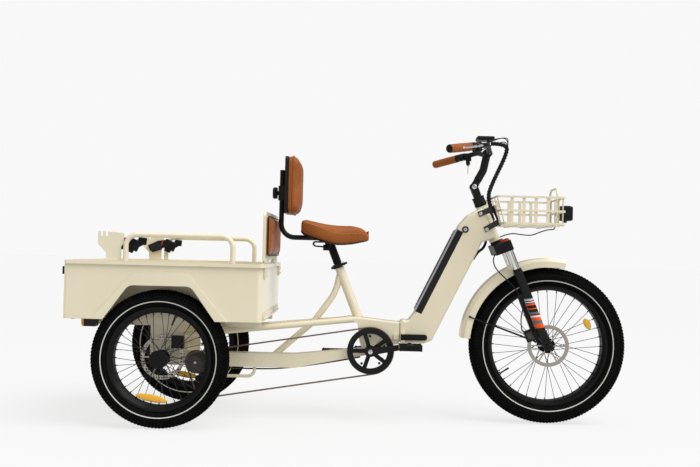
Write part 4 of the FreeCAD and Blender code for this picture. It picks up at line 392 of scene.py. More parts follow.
def paint(name, colour, shade, edge, roughness=0.3, gloss=0.35, specular=0.5):
    """Sprayed paint: a faint orange peel and slow shifts of tone."""
    made = Finish(name, colour, roughness, coat=gloss, coat_roughness=0.12, specular=specular)
    drift = made.step(made.noise(5.0, 4.0, 0.6), 0.3, 0.75)
    made.put("Base Color", made.mix(drift, colour, shade))
    made.put("Roughness", made.noise(35.0, 3.0) * 0.12 + (roughness - 0.06))
    made.bump(made.noise(420.0, 2.0), 0.06, 0.0006, made.soft_edges(edge))
    return made


CREAM = (0.775, 0.703, 0.518)
CREAM_SHADE = (0.745, 0.67, 0.485)
cream = paint("cream_paint", CREAM, CREAM_SHADE, 0.003)
coat(cream, "seat_tube", "rear_stays", "main_beam", "rear_subframe", "down_tube", "head_tube")


def add(shape, part, matrix=None):
    """Moves a finished part into a shape that holds several."""
    mesh = bpy.data.meshes.new("part")
    if matrix:
        part.transform(matrix)
    part.to_mesh(mesh)
    part.free()
    shape.from_mesh(mesh)
    bpy.data.meshes.remove(mesh)


def round_edges(part, edges, offset, segments=2):
    bmesh.ops.bevel(part, geom=edges, offset=offset, offset_type="OFFSET", segments=segments, profile=0.5,
                    affect="EDGES", material=-1)


def aimed(place, axis):
    """Matrix that stands a part on a point, along an axis."""
    return Matrix.Translation(place) @ Vector(axis).to_track_quat("Z", "Y").to_matrix().to_4x4()


def block(shape, centre, size, edge=0.0012, turn=None, segments=2):
    """Rounded block; size in millimetres."""
    part = bmesh.new()
    bmesh.ops.create_cube(part, size=0.001)
    bmesh.ops.scale(part, vec=size, verts=part.verts)
    if edge:
        round_edges(part, part.edges[:], edge, segments)
    add(shape, part, Matrix.Translation(centre) @ (turn or Matrix()))


def rod(shape, start, end, radius, sides=24, edge=0.0, end_radius=None):
    """Round bar between two points; radius in millimetres."""
    part = bmesh.new()
    run = end - start
    bmesh.ops.create_cone(part, cap_ends=True, segments=sides, radius1=radius / 1000,
                          radius2=(radius if end_radius is None else end_radius) / 1000, depth=run.length)
    if edge:
        rims = [e for e in part.edges if abs(abs(e.verts[0].co.z) - run.length / 2) < 1e-6
                and abs(e.verts[0].co.z - e.verts[1].co.z) < 1e-6]
        round_edges(part, rims, edge)
    add(shape, part, aimed((start + end) / 2, run))


def lathe(shape, profile, centre, axis, steps=48):
    """Turned part from (radius, offset) points in millimetres along an axis."""
    part = bmesh.new()
    line = [part.verts.new((r / 1000, 0, h / 1000)) for r, h in profile]
    chain = [part.edges.new(pair) for pair in zip(line, line[1:])]
    bmesh.ops.spin(part, geom=line + chain, cent=(0, 0, 0), axis=(0, 0, 1), angle=2 * math.pi, steps=steps,
                   use_merge=True)
    bmesh.ops.remove_doubles(part, verts=part.verts, dist=1e-6)
    bmesh.ops.recalc_face_normals(part, faces=part.faces)
    add(shape, part, aimed(centre, axis))


def piece(name, shape, finish, body, sharp=35):
    """Turns a shape into an object on a body."""
    mesh = bpy.data.meshes.new(name)
    shape.to_mesh(mesh)
    shape.free()
    made = bpy.data.objects.new(name, mesh)
    bpy.context.scene.collection.objects.link(made)
    return dress(made, finish, body, sharp)


def metal(name, colour, grain, spread, roughness, metallic=1.0, detail=3.0):
    """Bare metal that is duller in small patches."""
    made = Finish(name, colour, roughness, metallic=metallic)
    made.put("Roughness", made.noise(grain, detail) * spread + roughness)
    return made


steel = metal("bright_steel", (0.62, 0.62, 0.63), 220.0, 0.22, 0.2)
black_metal = paint("black_satin", COAL, (0.012, 0.012, 0.0125), 0.0015, 0.42, 0.04, 0.14)
plastic = Finish("black_plastic", COAL, 0.5, specular=0.14)
plastic.bump(plastic.noise(1400.0, 2.0), 0.18, 0.0004, plastic.soft_edges(0.0012))


def bolt(shape, centre, axis, radius=5.0, height=3.5):
    """Domed socket bolt on its washer."""
    washer = radius * 1.35
    socket = height * 0.45
    lathe(shape, [(0.0, 0.0), (washer, 0.0), (washer, 0.9), (radius, 1.0), (radius, height * 0.7),
                  (radius * 0.8, height), (radius * 0.5, height), (radius * 0.45, socket), (0.0, socket)],
          centre, axis, 20)


# Weld beads. Rippled beads in the frame's paint run round the seat tube and round both ends
# of the shell that holds the crank.
def bead(shape, centre, axis, radius, thick=2.2):
    """Rippled weld round a tube, radius in millimetres."""
    part = bmesh.new()
    count = int(radius * 2.2)
    for i in range(count):
        angle = 2 * math.pi * i / count
        ripple = bmesh.ops.create_uvsphere(part, u_segments=6, v_segments=4, radius=thick / 1000)["verts"]
        spot = Vector((radius / 1000 * math.cos(angle), radius / 1000 * math.sin(angle), 0))
        bmesh.ops.translate(part, vec=spot, verts=ripple)
    add(shape, part, aimed(centre, axis))


SEAT_LEAN = math.radians(21.9)
CRANK_X, CRANK_Z = 848, 299


def seat_at(forward, y, along):
    """Row point from millimetres ahead of the seat tube's axis, to the left and up it."""
    x = CRANK_X + forward * math.cos(SEAT_LEAN) - along * math.sin(SEAT_LEAN)
    return at(x, y, CRANK_Z + forward * math.sin(SEAT_LEAN) + along * math.cos(SEAT_LEAN))


seat_up = (seat_at(0, 0, 1) - seat_at(0, 0, 0)).normalized()
fork_up = (fork_at(0, 0, 1) - fork_at(0, 0, 0)).normalized()
welds = bmesh.new()
bead(welds, seat_at(0, 0, 152), seat_up, 20.5)
for out in (1, -1):
    bead(welds, at(CRANK_X, out * 43.5, CRANK_Z), ACROSS, 27.0, 1.6)
piece("frame_welds", welds, cream, "rear", 60)


# Wheels. Knobbly black tyres with a pale reflective line on each side, on black rims laced
# with dark spokes; amber reflectors are clipped between the spokes and a valve stands inwards.
def radius_at(finish, centre):
    """Distance from a wheel's axle line, in metres."""
    shift = {"vector_type": "POINT"}
    near = finish.node("ShaderNodeMapping", shift, {"Vector": finish.place(), "Location": -centre})
    x, z = finish.axis("X", near), finish.axis("Z", near)
    return finish.node("ShaderNodeMath", {"operation": "SQRT"}, {0: x * x + z * z})


LINE_INNER = 0.0016
LINE_OUTER = 0.0022
LINE_SHARE = 0.000832


def tyre_rubber(name, centre, line_r):
    """Black rubber with a pale line at one radius."""
    made = Finish(name, grey(0.005), 0.75, specular=0.02)
    reach = radius_at(made, centre)
    starts = made.step(reach, line_r - LINE_OUTER, line_r - LINE_INNER)
    ends = made.step(reach, line_r + LINE_INNER, line_r + LINE_OUTER)
    line = starts * (1.0 - ends)
    dust = made.step(made.noise(60.0, 5.0, 0.65), 0.35, 0.8)
    dusty = made.mix(dust, grey(0.004), (0.008, 0.0078, 0.0075))
    made.put("Base Color", made.mix(line, dusty, (0.62, 0.62, 0.58)))
    made.put("Roughness", 0.74 - line * 0.3)
    made.bump(made.sine(reach * 2600.0) * 0.35 + made.noise(700.0, 3.0), 0.25, 0.0008)
    return made


TREAD_DEEP = 5.5
TREAD_SHARE = 0.56
TYRE_WALL = 7.0
TYRE_STEPS = 14
TREAD_ROWS = ((0.0, 13, 0.0), (0.3, 12, 0.5), (-0.3, 12, 0.5), (0.62, 12, 0.0), (-0.62, 12, 0.0),
              (0.86, 11, 0.5), (-0.86, 11, 0.5))


def tyre(name, centre, outer, width, seat, foot, count, finish, body, node):
    """Carcass with rows of tread blocks; sizes in millimetres."""
    shape = bmesh.new()
    crown = outer - TREAD_DEEP
    half = width / 2
    waist = (outer + seat) / 2 - 2
    toe = seat + 0.6

    def ground_at(across):
        """Radius of the carcass at a share of its half width."""
        lift = (1 - abs(across) ** 2.6) ** 0.42 if abs(across) < 1 else 0.0
        return waist + (crown - waist) * lift

    profile = []
    for t in range(TYRE_STEPS + 1):
        across = -math.cos(math.pi * t / TYRE_STEPS)
        profile.append((ground_at(across), across * half))
    side = [(toe, foot), (seat + 8, foot), (seat + 20, foot + (half - foot) * 0.72),
            (waist - 8, half * 0.985)]
    profile = [(r, -y) for r, y in side] + profile + side[::-1]
    lining = crown - TYRE_WALL
    profile += [(toe, foot - TYRE_WALL / 2), (lining, half * 0.3), (lining, -half * 0.3),
                (toe, TYRE_WALL / 2 - foot), profile[0]]
    lathe(shape, profile, centre, ACROSS, 112)
    long = TREAD_SHARE * 2 * math.pi * outer / count
    for across, wide, phase in TREAD_ROWS:
        part = bmesh.new()
        y = across * half
        ground = ground_at(across)
        tilt = -math.copysign(min(abs(across) ** 3 * 1.1, 1.0), across)
        for i in range(count):
            angle = 2 * math.pi * (i + phase) / count
            knob = bmesh.ops.create_cube(part, size=0.001)["verts"]
            bmesh.ops.scale(part, vec=(long, wide, 2 * TREAD_DEEP), verts=knob)
            tops = [v for v in knob if v.co.z > 0]
            bmesh.ops.scale(part, vec=(0.82, 0.86, 1.0), verts=tops)
            bmesh.ops.rotate(part, cent=(0, 0, 0), matrix=Matrix.Rotation(tilt, 3, "X"), verts=knob)
            bmesh.ops.translate(part, vec=(0, y / 1000, (ground - 0.3) / 1000), verts=knob)
            bmesh.ops.rotate(part, cent=(0, 0, 0), matrix=Matrix.Rotation(angle, 3, "Y"), verts=knob)
        add(shape, part, Matrix.Translation(centre))
    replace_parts(piece(name, shape, finish, body, 40), node)


rim_black = paint("rim_black", (0.006, 0.006, 0.0065), (0.009, 0.009, 0.0095), 0.001, 0.45, 0.03, 0.1)
spoke_steel = metal("dark_spokes", (0.03, 0.03, 0.031), 300.0, 0.2, 0.28, 0.85, 2.0)
amber = Finish("amber_reflector", (0.9, 0.5, 0.01), 0.16, coat=0.6, coat_roughness=0.05)
prism = amber.cells(420.0)
amber.put("Base Color", amber.mix(amber.step(prism, 0.1, 0.7), (0.95, 0.58, 0.01), (0.8, 0.36, 0.005)))
amber.bump(prism, 0.5, 0.001)


DISC_HALF = 0.0016
DISC_BAND_R = 0.072
HUB_END_R = 0.024


def hub_finish(name, centre, disc_y):
    """Black hub shell with a drilled stainless brake disc on its inner end; the disc's holes are only painted
    shade, dark spots that are not cut.
    """
    made = Finish(name, (0.02, 0.02, 0.021), 0.4, specular=0.12)
    reach = radius_at(made, centre)
    y = made.axis("Y")
    on_disc = (y > disc_y - DISC_HALF) * (y < disc_y + DISC_HALF) * (reach > HUB_END_R)
    # Painted shade: the drilled holes are dark spots in the hub's black, standing in for the shaded gaps seen
    # through them.
    hole_shade = (made.cells(92.0, randomness=0.25) < 0.34) * (reach > DISC_BAND_R) * on_disc
    bright = on_disc - hole_shade
    made.put("Base Color", made.mix(bright, (0.006, 0.006, 0.0065), (0.4, 0.365, 0.32)))
    made.put("Metallic", bright)
    made.put("Roughness", 0.42 - bright * 0.12 + made.sine(reach * 5200.0) * 0.04)
    return made


def reflector(name, centre, y, radius, angle, size, body):
    """Leaf-shaped reflector standing between two spokes."""
    shape = bmesh.new()
    spot = centre + Vector((radius * math.cos(angle), y, radius * math.sin(angle)))
    turn = Matrix.Rotation(-angle + math.pi / 2, 4, "Y")
    part = bmesh.new()
    bmesh.ops.create_uvsphere(part, u_segments=24, v_segments=12, radius=0.001)
    bmesh.ops.scale(part, vec=(size[0], 7, size[1]), verts=part.verts)
    bmesh.ops.bisect_plane(part, geom=part.verts[:] + part.edges[:] + part.faces[:], plane_co=(0, 0.0035, 0),
                           plane_no=(0, 1, 0), clear_outer=True)
    bmesh.ops.holes_fill(part, edges=[e for e in part.edges if e.is_boundary])
    add(shape, part, Matrix.Translation(spot) @ turn)
    block(shape, spot, (9, 16, 15), 0.0012, turn)
    piece(name, shape, amber, body)


def ray_at(turn):
    """Unit vector in the plane of a wheel, at an angle in radians."""
    return Vector((math.cos(turn), 0, math.sin(turn)))


def rays(count, first=0.0):
    """Evenly spread unit vectors in the plane of a wheel."""
    return [ray_at(first + 2 * math.pi * i / count) for i in range(count)]


REAR_SIZES = (278, 88, 203.3, 27.6, 120)
FRONT_SIZES = (339, 100, 253.8, 34.6, 146)
REAR_MARKS = (0.159, -1.74, (66, 14.5), 72, 17)
FRONT_MARKS = (0.199, 0.51, (26, 14.5), 213, 13)
NIPPLES = 36
for side, centre, sizes, disc_y, marks in (
        ("rear_left", at(0, 350, 278), REAR_SIZES, 0.304, REAR_MARKS),
        ("rear_right", at(0, -350, 278), REAR_SIZES, -0.304, REAR_MARKS),
        ("front", at(FRONT_X, 0, FRONT_Z), FRONT_SIZES, -0.046, FRONT_MARKS)):
    body = "wheel_" + side
    outer, bead_r = sizes[0], sizes[2]
    rubber = tyre_rubber("tyre_rubber_" + side, centre, outer * LINE_SHARE)
    tyre("tyre_tread_" + side, centre, *sizes, rubber, body, "tyre_" + side)
    coat(rim_black, "rim_" + side)
    coat(spoke_steel, "spokes_" + side)
    coat(hub_finish("hub_metal_" + side, centre, disc_y), "hub_" + side)
    outward = -1 if centre.y <= 0 else 1
    spot, turn, size, valve_angle, nipple_drop = marks
    reflector("reflector_" + side, centre, outward * 0.017, spot, turn, size, body)
    valve = bmesh.new()
    ray = ray_at(math.radians(valve_angle))
    root = centre + ray * (bead_r - 16) / 1000
    rod(valve, root, root - ray * 0.034, 3.4, 16, 0.0006)
    rod(valve, root - ray * 0.028, root - ray * 0.046, 4.0, 16, 0.0008)
    rod(valve, root, root - ray * 0.004, 7.0, 6, 0.0006)
    for i, ray in enumerate(rays(NIPPLES)):
        root = centre + ray * (bead_r - nipple_drop) / 1000 + ACROSS * (0.003 if i % 2 else -0.003)
        rod(valve, root, root - ray * 0.011, 2.4, 8)
    piece("valve_and_nipples_" + side, valve, spoke_steel, body)


# Cargo box. Folded sheet steel in the frame's cream, with a rolled lip, flared wheel arches,
# a hinged tailgate on two turn latches and guard hoops with notched belt plates on the lip.
coat(cream, "cargo_box", "tailgate", "guard_rails", "fold_panel", "fender")
coat(plastic, "tailgate_latch_left", "tailgate_latch_right")

box_trim = bmesh.new()
for y in (340, -340):
    block(box_trim, at(412, y, 628), (7, 30, 44), 0.0015)
    block(box_trim, at(417, y, 640), (5, 22, 16), 0.0015)
    rod(box_trim, at(419, y - 12, 620), at(419, y + 12, 620), 4.0, 16, 0.0008)
    rod(box_trim, at(416, y - 10, 654), at(416, y + 10, 654), 3.0, 16, 0.0008)
block(box_trim, at(409.6, 0, 458), (3, 700, 26), 0.0008)
rod(box_trim, at(412, -350, 447), at(412, 350, 447), 4.5, 20, 0.0008)
piece("box_catches", box_trim, cream, "rear")
box_bolts = bmesh.new()
for i in range(8):
    bolt(box_bolts, at(411.2, -308 + 88 * i, 463), (1, 0, 0), 4.0, 3.0)
piece("box_bolts", box_bolts, cream, "rear")

seam = bmesh.new()
for out in (1, -1):
    rod(seam, at(-374, out * 402.5, 665.5), at(404, out * 402.5, 665.5), 1.6, 10)
piece("lip_seam", seam, cream, "rear")

hinges = bmesh.new()
for y in (-300, -60, 180):
    for k in range(5):
        rod(hinges, at(-376, y + 24 * k + 1, 429), at(-376, y + 24 * k + 23, 429), 4.2, 16, 0.0006)
piece("gate_hinge_barrels", hinges, cream, "rear")

# Lap belts. Black webbing is folded back on itself at each belt plate and closed in a buckle,
# with a red release edge and a bright tongue; the free end hangs beside it.
webbing = Finish("belt_webbing", INK, 0.85, specular=0.1)
weave = webbing.waves(240.0, "DIAGONAL", 0.4)
webbing.put("Base Color", webbing.mix(weave, (0.008, 0.008, 0.009), (0.03, 0.03, 0.032)))
webbing.bump(weave, 0.5, 0.0008)
red_plastic = Finish("red_plastic", (0.55, 0.025, 0.012), 0.36)
red_plastic.bump(red_plastic.noise(500.0), 0.1, 0.0004)


def strap(shape, points, wide, thick):
    """Flat strap along points, wide in the plane across them; millimetres."""
    for start, end in zip(points, points[1:]):
        run = end - start
        turn = Matrix.Rotation(-math.atan2(run.z, run.x), 4, "Y")
        block(shape, (start + end) / 2, (run.length * 1000 + thick, thick, wide), 0.0009, turn)


BELT_Y = 379
for side, out in SIDES:
    y = out * BELT_Y
    straps = bmesh.new()
    strap(straps, [at(-214, y, 722), at(-170, y, 742), at(-132, y, 748)], 30, 9)
    strap(straps, [at(-205, y - out * 7, 716), at(-160, y - out * 7, 731)], 33, 5)
    strap(straps, [at(-95, y, 736), at(-72, y, 750)], 26, 4)
    belts = piece("belt_straps_" + side, straps, webbing, "rear", 50)
    buckle = bmesh.new()
    lean = Matrix.Rotation(0.42, 4, "Y")
    block(buckle, at(-118, y, 736), (58, 15, 44), 0.004, lean, 3)
    block(buckle, at(-126, y, 716), (30, 13, 26), 0.004, lean, 3)
    block(buckle, at(-78, y, 748), (34, 13, 29), 0.0035, Matrix.Rotation(0.1, 4, "Y"), 3)
    rod(buckle, at(-152, y - 7, 727), at(-152, y + 7, 727), 6.0, 20, 0.001)
    piece("belt_buckle_" + side, buckle, plastic, "rear")
    trim = bmesh.new()
    block(trim, at(-154, y - out * 0.5, 746), (3.5, 10.5, 32), 0.0008, Matrix.Rotation(0.3, 4, "Y"))
    piece("belt_release_" + side, trim, red_plastic, "rear")
    tongue = bmesh.new()
    block(tongue, at(-98, y, 744), (12, 2.6, 24), 0.0006, lean)
    piece("belt_tongue_" + side, tongue, steel, "rear")
    if out > 0:
        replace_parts(belts, "seat_belts")


# Tail lamps. Moulded black housings under the rear corners of the box, with an amber lens,
# finely ribbed, over the rear end of each.
LENS_END_X = -1.093
lamp_finish = Finish("tail_lamp", INK, 0.45, coat=0.1, specular=0.2)
housing = lamp_finish.step(lamp_finish.axis("X"), LENS_END_X - 0.0005, LENS_END_X + 0.0005)
ribs = lamp_finish.sine(lamp_finish.axis("Y") * 1800.0)
lamp_finish.put("Base Color", lamp_finish.mix(housing, (0.86, 0.36, 0.015), INK))
lamp_finish.put("Roughness", housing * 0.3 + 0.15)
lamp_finish.bump(ribs * (1.0 - housing), 0.35, 0.0008, lamp_finish.soft_edges(0.002))
coat(lamp_finish, "tail_lamps")


# Leather pads. Cognac hide over foam: the pad of the fold-down panel, the backrest and the
# saddle. Each is filled by a short cloth run and stitched along its seams; the two flat pads are also piped.
LEATHER = (0.385, 0.112, 0.018)
leather = Finish("cognac_leather", LEATHER, 0.42, coat_roughness=0.3, specular=0.14)
pores = leather.cells(520.0, "DISTANCE_TO_EDGE")
creases = leather.noise(26.0, 6.0, 0.62)
patina = leather.step(leather.noise(9.0, 4.0, 0.6), 0.3, 0.75)
tone = leather.mix(patina, LEATHER, (0.28, 0.082, 0.02))
leather.put("Base Color", leather.mix(leather.step(pores, 0.0, 0.14), (0.22, 0.068, 0.02), tone))
leather.put("Roughness", patina * 0.16 + 0.36)
leather.bump(leather.step(pores, 0.0, 0.2) + creases * 1.6, 0.3, 0.0012)
thread = Finish("tan_thread", (0.62, 0.36, 0.16), 0.7)
thread.bump(thread.noise(1600.0), 0.4, 0.0004)


def fill(made, back, cap, frames=20, voxel=0.0055, pressure=4.0):
    """Swells a pad like foam under hide. back(point) is true where it is glued down."""
    made.modifiers.new("voxels", "REMESH").voxel_size = voxel
    depsgraph = bpy.context.evaluated_depsgraph_get()
    mesh = bpy.data.meshes.new_from_object(made.evaluated_get(depsgraph))
    made.modifiers.clear()
    made.data = mesh
    rest = [vertex.co.copy() for vertex in mesh.vertices]
    glued = made.vertex_groups.new(name="glued")
    glued.add([i for i, point in enumerate(rest) if back(point)], 1.0, "REPLACE")
    cloth = made.modifiers.new("cloth", "CLOTH")
    cloth.settings.quality = 5
    cloth.settings.use_pressure = True
    cloth.settings.uniform_pressure_force = pressure
    cloth.settings.effector_weights.gravity = 0
    cloth.settings.vertex_group_mass = "glued"
    cloth.settings.tension_stiffness = 12
    cloth.settings.compression_stiffness = 12
    cloth.settings.bending_stiffness = 1.5
    cloth.point_cache.frame_end = frames
    for frame_number in range(1, frames + 1):
        bpy.context.scene.frame_set(frame_number)
    depsgraph = bpy.context.evaluated_depsgraph_get()
    swollen = made.evaluated_get(depsgraph).to_mesh()
    for vertex, start, end in zip(mesh.vertices, rest, swollen.vertices):
        move = end.co - start
        vertex.co = start + (move if move.length < cap else move * (cap / move.length))
    made.evaluated_get(depsgraph).to_mesh_clear()
    made.modifiers.clear()
    made.vertex_groups.clear()
    bpy.context.scene.frame_set(1)
    shape = bmesh.new()
    shape.from_mesh(mesh)
    for _ in range(3):
        bmesh.ops.smooth_vert(shape, verts=shape.verts, factor=0.5, use_axis_x=True, use_axis_y=True,
                              use_axis_z=True)
    shape.to_mesh(mesh)
    shape.free()


def subdivide(made, levels):
    smooth = made.modifiers.new("smooth", "SUBSURF")
    smooth.levels = smooth.render_levels = levels


def stitches(shape, line, gap=0.0052, long=3.4, radius=0.55):
    """Row of sewn stitches along points, standing on the surface."""
    run = 0.0
    target = gap
    for start, end in zip(line, line[1:]):
        step = (end - start).length
        while run + step >= target and step > 0:
            middle = start.lerp(end, (target - run) / step)
            half = (end - start).normalized() * (long / 2000)
            rod(shape, middle - half, middle + half, radius, 6)
            target += gap
        run += step


def frame_line(x, y_half, z0, z1, corner, steps=7):
    """Closed rounded rectangle in the plane across the tricycle."""
    line = []
    for cy, cz, first in ((1, 1, 0.0), (-1, 1, 0.5), (-1, -1, 1.0), (1, -1, 1.5)):
        for k in range(steps):
            angle = math.pi * (first + 0.5 * k / (steps - 1))
            y = cy * (y_half - corner) + corner * math.cos(angle)
            z = (z1 - corner if cz > 0 else z0 + corner) + corner * math.sin(angle)
            line.append(at(x, y, z))
    return line + line[:1]


def flat_pad(name, x0, x1, y_half, z0, z1, corner, front, piping, body, node, cap):
    """Upright pad glued to a plate at x0, with piping and a sewn seam; millimetres."""
    shape = bmesh.new()
    seam_x = x0 + (x1 - x0) * 0.42
    block(shape, at((x0 + x1) / 2 - 2, 0, (z0 + z1) / 2), (x1 - x0 - 4, 2 * y_half - 6, z1 - z0 - 6), 0)
    uprights = [e for e in shape.edges if abs((e.verts[0].co - e.verts[1].co).normalized().x) > 0.99]
    round_edges(shape, uprights, corner / 1000, 6)
    rim = [e for e in shape.edges if all(v.co.x > at(x1 - 5, 0, 0).x for v in e.verts)]
    round_edges(shape, rim, front / 1000, 6)
    bmesh.ops.remove_doubles(shape, verts=shape.verts, dist=1e-5)
    made = piece(name, shape, leather, None, 60)
    fill(made, lambda p: p.x < at(x0 + 3, 0, 0).x, cap)
    subdivide(made, 1)
    dress(made, leather, body, 180)
    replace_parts(made, node)
    welt_line = frame_line(seam_x, y_half - 1.0, z0 + 1.0, z1 - 1.0, corner)
    dress(hose(name + "_piping", welt_line, 0.0024, 3), piping, body)
    sewn = bmesh.new()
    stitches(sewn, frame_line(seam_x - 6.5, y_half - 0.2, z0 + 0.2, z1 - 0.2, corner))
    piece(name + "_stitching", sewn, thread, body)


flat_pad("panel_cushion", 406, 424, 266, 700, 866, 18, 8, plastic, "panel", "panel_pad", 0.005)
flat_pad("backrest_cushion", 478, 528, 122, 882, 1134, 34, 22, leather, "backrest", "backrest_pad", 0.009)

HIDE_ARCH = 38
TRAY_ARCH = 36
saddle_stations = ((535, 857, 851, 800, 100), (546, 859, 852, 789, 112), (580, 852, 845, 777, 121),
                   (630, 842, 830, 760, 119), (660, 838, 818, 753, 106), (692, 837, 808, 749, 76),
                   (725, 838, 806, 750, 55), (762, 838, 811, 754, 46), (799, 832, 813, 762, 38),
                   (824, 813, 801, 768, 28), (834, 797, 789, 773, 18))


def saddle_loops(shape, lower):
    """Rings of the saddle from tail to nose; lower gives the tray under the hide instead."""
    rings = []
    for x, top, edge, base, half in saddle_stations:
        ring = bmesh.ops.create_circle(shape, segments=28, radius=1.0)["verts"]
        for vertex in ring:
            c, s = vertex.co.x, vertex.co.y
            y = half * math.copysign(abs(c) ** 0.62, c)
            if lower:
                y *= 0.9
                z = base + 5 + 5 * s + TRAY_ARCH * (1 - abs(c))
            elif s >= 0:
                z = edge + (top - edge) * s ** 0.8 - 5 * math.exp(-(y / 22) ** 2) * (x < 760)
            else:
                z = edge - (edge - base) * min(1.0, abs(s) ** 0.5 * 1.05)
                if s < -0.8:
                    z += HIDE_ARCH * (1 - abs(c)) ** 2
            vertex.co = at(x - 0.02 * (x - 640) * lower, y, z)
        rings.append(list({edge for v in ring for edge in v.link_edges}))
    for first, second in zip(rings, rings[1:]):
        bmesh.ops.bridge_loops(shape, edges=first + second)
    for end in (rings[0], rings[-1]):
        bmesh.ops.edgeloop_fill(shape, edges=end)
    bmesh.ops.recalc_face_normals(shape, faces=shape.faces)


hide = bmesh.new()
saddle_loops(hide, False)
saddle = piece("saddle_hide", hide, leather, None, 180)
subdivide(saddle, 2)
fill(saddle, lambda p: p.z < 0.80 and abs(p.y) < 0.09, 0.004, 16, 0.005, 2.5)
subdivide(saddle, 1)
dress(saddle, leather, "seat", 180)
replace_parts(saddle, "saddle")
tray = bmesh.new()
saddle_loops(tray, True)
piece("saddle_tray", tray, plastic, "seat", 60)

sewn = bmesh.new()
for out in (1, -1):
    seam_points = [at(x, out * (half * 0.985 + 1.2), edge - 4)
                   for x, top, edge, base, half in saddle_stations[1:-1]]
    stitches(sewn, route(seam_points, 12), 0.006, 3.8, 0.6)
piece("saddle_stitching", sewn, thread, "seat")

# Seat hardware. The bent tube and clamp, the shell behind the backrest and its knob are black,
# and a rubber boot with ribs covers the sprung post down to the quick-release collar.
coat(black_metal, "seat_post", "backrest_tube", "seat_lever")
shell_finish = Finish("backrest_shell", (0.009, 0.009, 0.0095), 0.4, coat=0.05, specular=0.2)
shell_finish.bump(shell_finish.noise(600.0), 0.1, 0.0005, shell_finish.soft_edges(0.004))
coat(shell_finish, "backrest_shell")

KNOB_Z = 976
KNOB_RIBS = 14
KNOB_RIB_R = 0.0238
knob = bmesh.new()
knob_profile = [(0.0, 0.0), (9.0, 0.0), (9.0, 4.0), (24.0, 5.0), (24.6, 8.0), (24.6, 21.0), (22.0, 24.5),
                (0.0, 24.7)]
lathe(knob, knob_profile, at(429.7, 0, KNOB_Z), (-1, 0, 0), 40)
for ray in rays(KNOB_RIBS):
    rib = Vector((0, ray.x, ray.z)) * KNOB_RIB_R
    rod(knob, at(423, 0, KNOB_Z) + rib, at(409, 0, KNOB_Z) + rib, 1.5, 8)
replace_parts(piece("backrest_knob_grip", knob, plastic, "backrest_knob"), "backrest_knob")

boot_finish = Finish("boot_rubber", COAL, 0.62, specular=0.12)
boot_finish.bump(boot_finish.noise(800.0, 3.0), 0.2, 0.0006)
BOOT_RIBS = 10
BOOT_RIB_GAP = 7.9
boot = bmesh.new()
boot_profile = [(15.9, 404.6)]
for i in range(BOOT_RIBS):
    base = 405 + i * BOOT_RIB_GAP
    boot_profile += [(16.6, base), (17.2, base + 1.2), (19.4, base + 3.2), (19.4, base + 4.4),
                     (17.2, base + 6.6)]
boot_profile += [(16.6, 483.4), (15.9, 483.6)]
lathe(boot, boot_profile, seat_at(0, 0, 0), seat_up, 40)
boot_piece = piece("post_boot", boot, boot_finish, None, 60)
seat_at(0, 0, 407)
seat_at(0, 0, 482)
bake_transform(boot_piece)
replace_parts(boot_piece, "bellows")

RAIL_LOOP = ((640, 766), (594, 766), (588, 760), (590, 751), (598, 747), (650, 744))
rails = bmesh.new()
for out in (1, -1):
    corners = [at(x, out * 22, z) for x, z in RAIL_LOOP]
    for start, end in zip(corners, corners[1:]):
        rod(rails, start, end, 3.4, 14, 0.0008)
    bolt(rails, at(646, out * 24, 738), (0, out, 0), 6.5, 6)
    block(rails, at(647, out * 20.5, 742), (30, 6, 26), 0.002, None, 3)
piece("seat_clamp_rails", rails, black_metal, "seat")
collar = bmesh.new()
collar_profile = [(20.2, 383.4), (26.5, 383.4), (26.5, 388), (24.6, 389), (24.6, 396), (26.5, 397),
                  (26.5, 402.6), (20.2, 402.6)]
lathe(collar, collar_profile, seat_at(0, 0, 0), seat_up, 40)
rod(collar, seat_at(26, -26, 393), seat_at(40, -26, 393), 5.0, 18, 0.001)
piece("post_collar", collar, black_metal, "rear")

# Drive. Black chainring with a guard ring and five windows, black crank arms and pedals, a
# brown bush chain of separate links, steel sprockets and the derailleur's cage and pulleys.
coat(black_metal, "chainring", "crankset", "fold_latch")
coat(plastic, "pedal_left", "pedal_right", "derailleur")
dark_steel = metal("dark_steel", (0.085, 0.08, 0.075), 260.0, 0.3, 0.25)
coat(dark_steel, "cassette")
coat(black_metal, "rear_calipers")

COG_X, COG_Z = 95, 232
CHAIN_Y = -55
CHAIN_PITCH = 0.0127
chain_finish = metal("chain_bronze", (0.2, 0.135, 0.105), 400.0, 0.35, 0.25, 0.85)
chain_circles = ((CRANK_X, CRANK_Z, 100.8), (125, 100, 22.8), (COG_X, COG_Z, 43.8))


def leaving(start, end):
    """Angle at which the chain leaves one circle for the next."""
    gap_x, gap_z = end[0] - start[0], end[1] - start[1]
    reach = math.hypot(gap_x, gap_z)
    return math.atan2(gap_z, gap_x) + math.pi / 2 - math.asin((start[2] - end[2]) / reach)


chain_line = []
for i, circle in enumerate(chain_circles):
    first = leaving(chain_circles[i - 1], circle)
    last = leaving(circle, chain_circles[(i + 1) % 3])
    while last > first:
        last -= 2 * math.pi
    while last < first - 2 * math.pi:
        last += 2 * math.pi
    turns = 24
    x, z, radius = circle
    for step in range(turns + 1):
        angle = first + (last - first) * step / turns
        chain_line.append(at(x + radius * math.cos(angle), CHAIN_Y, z + radius * math.sin(angle)))
chain_line.append(chain_line[0])

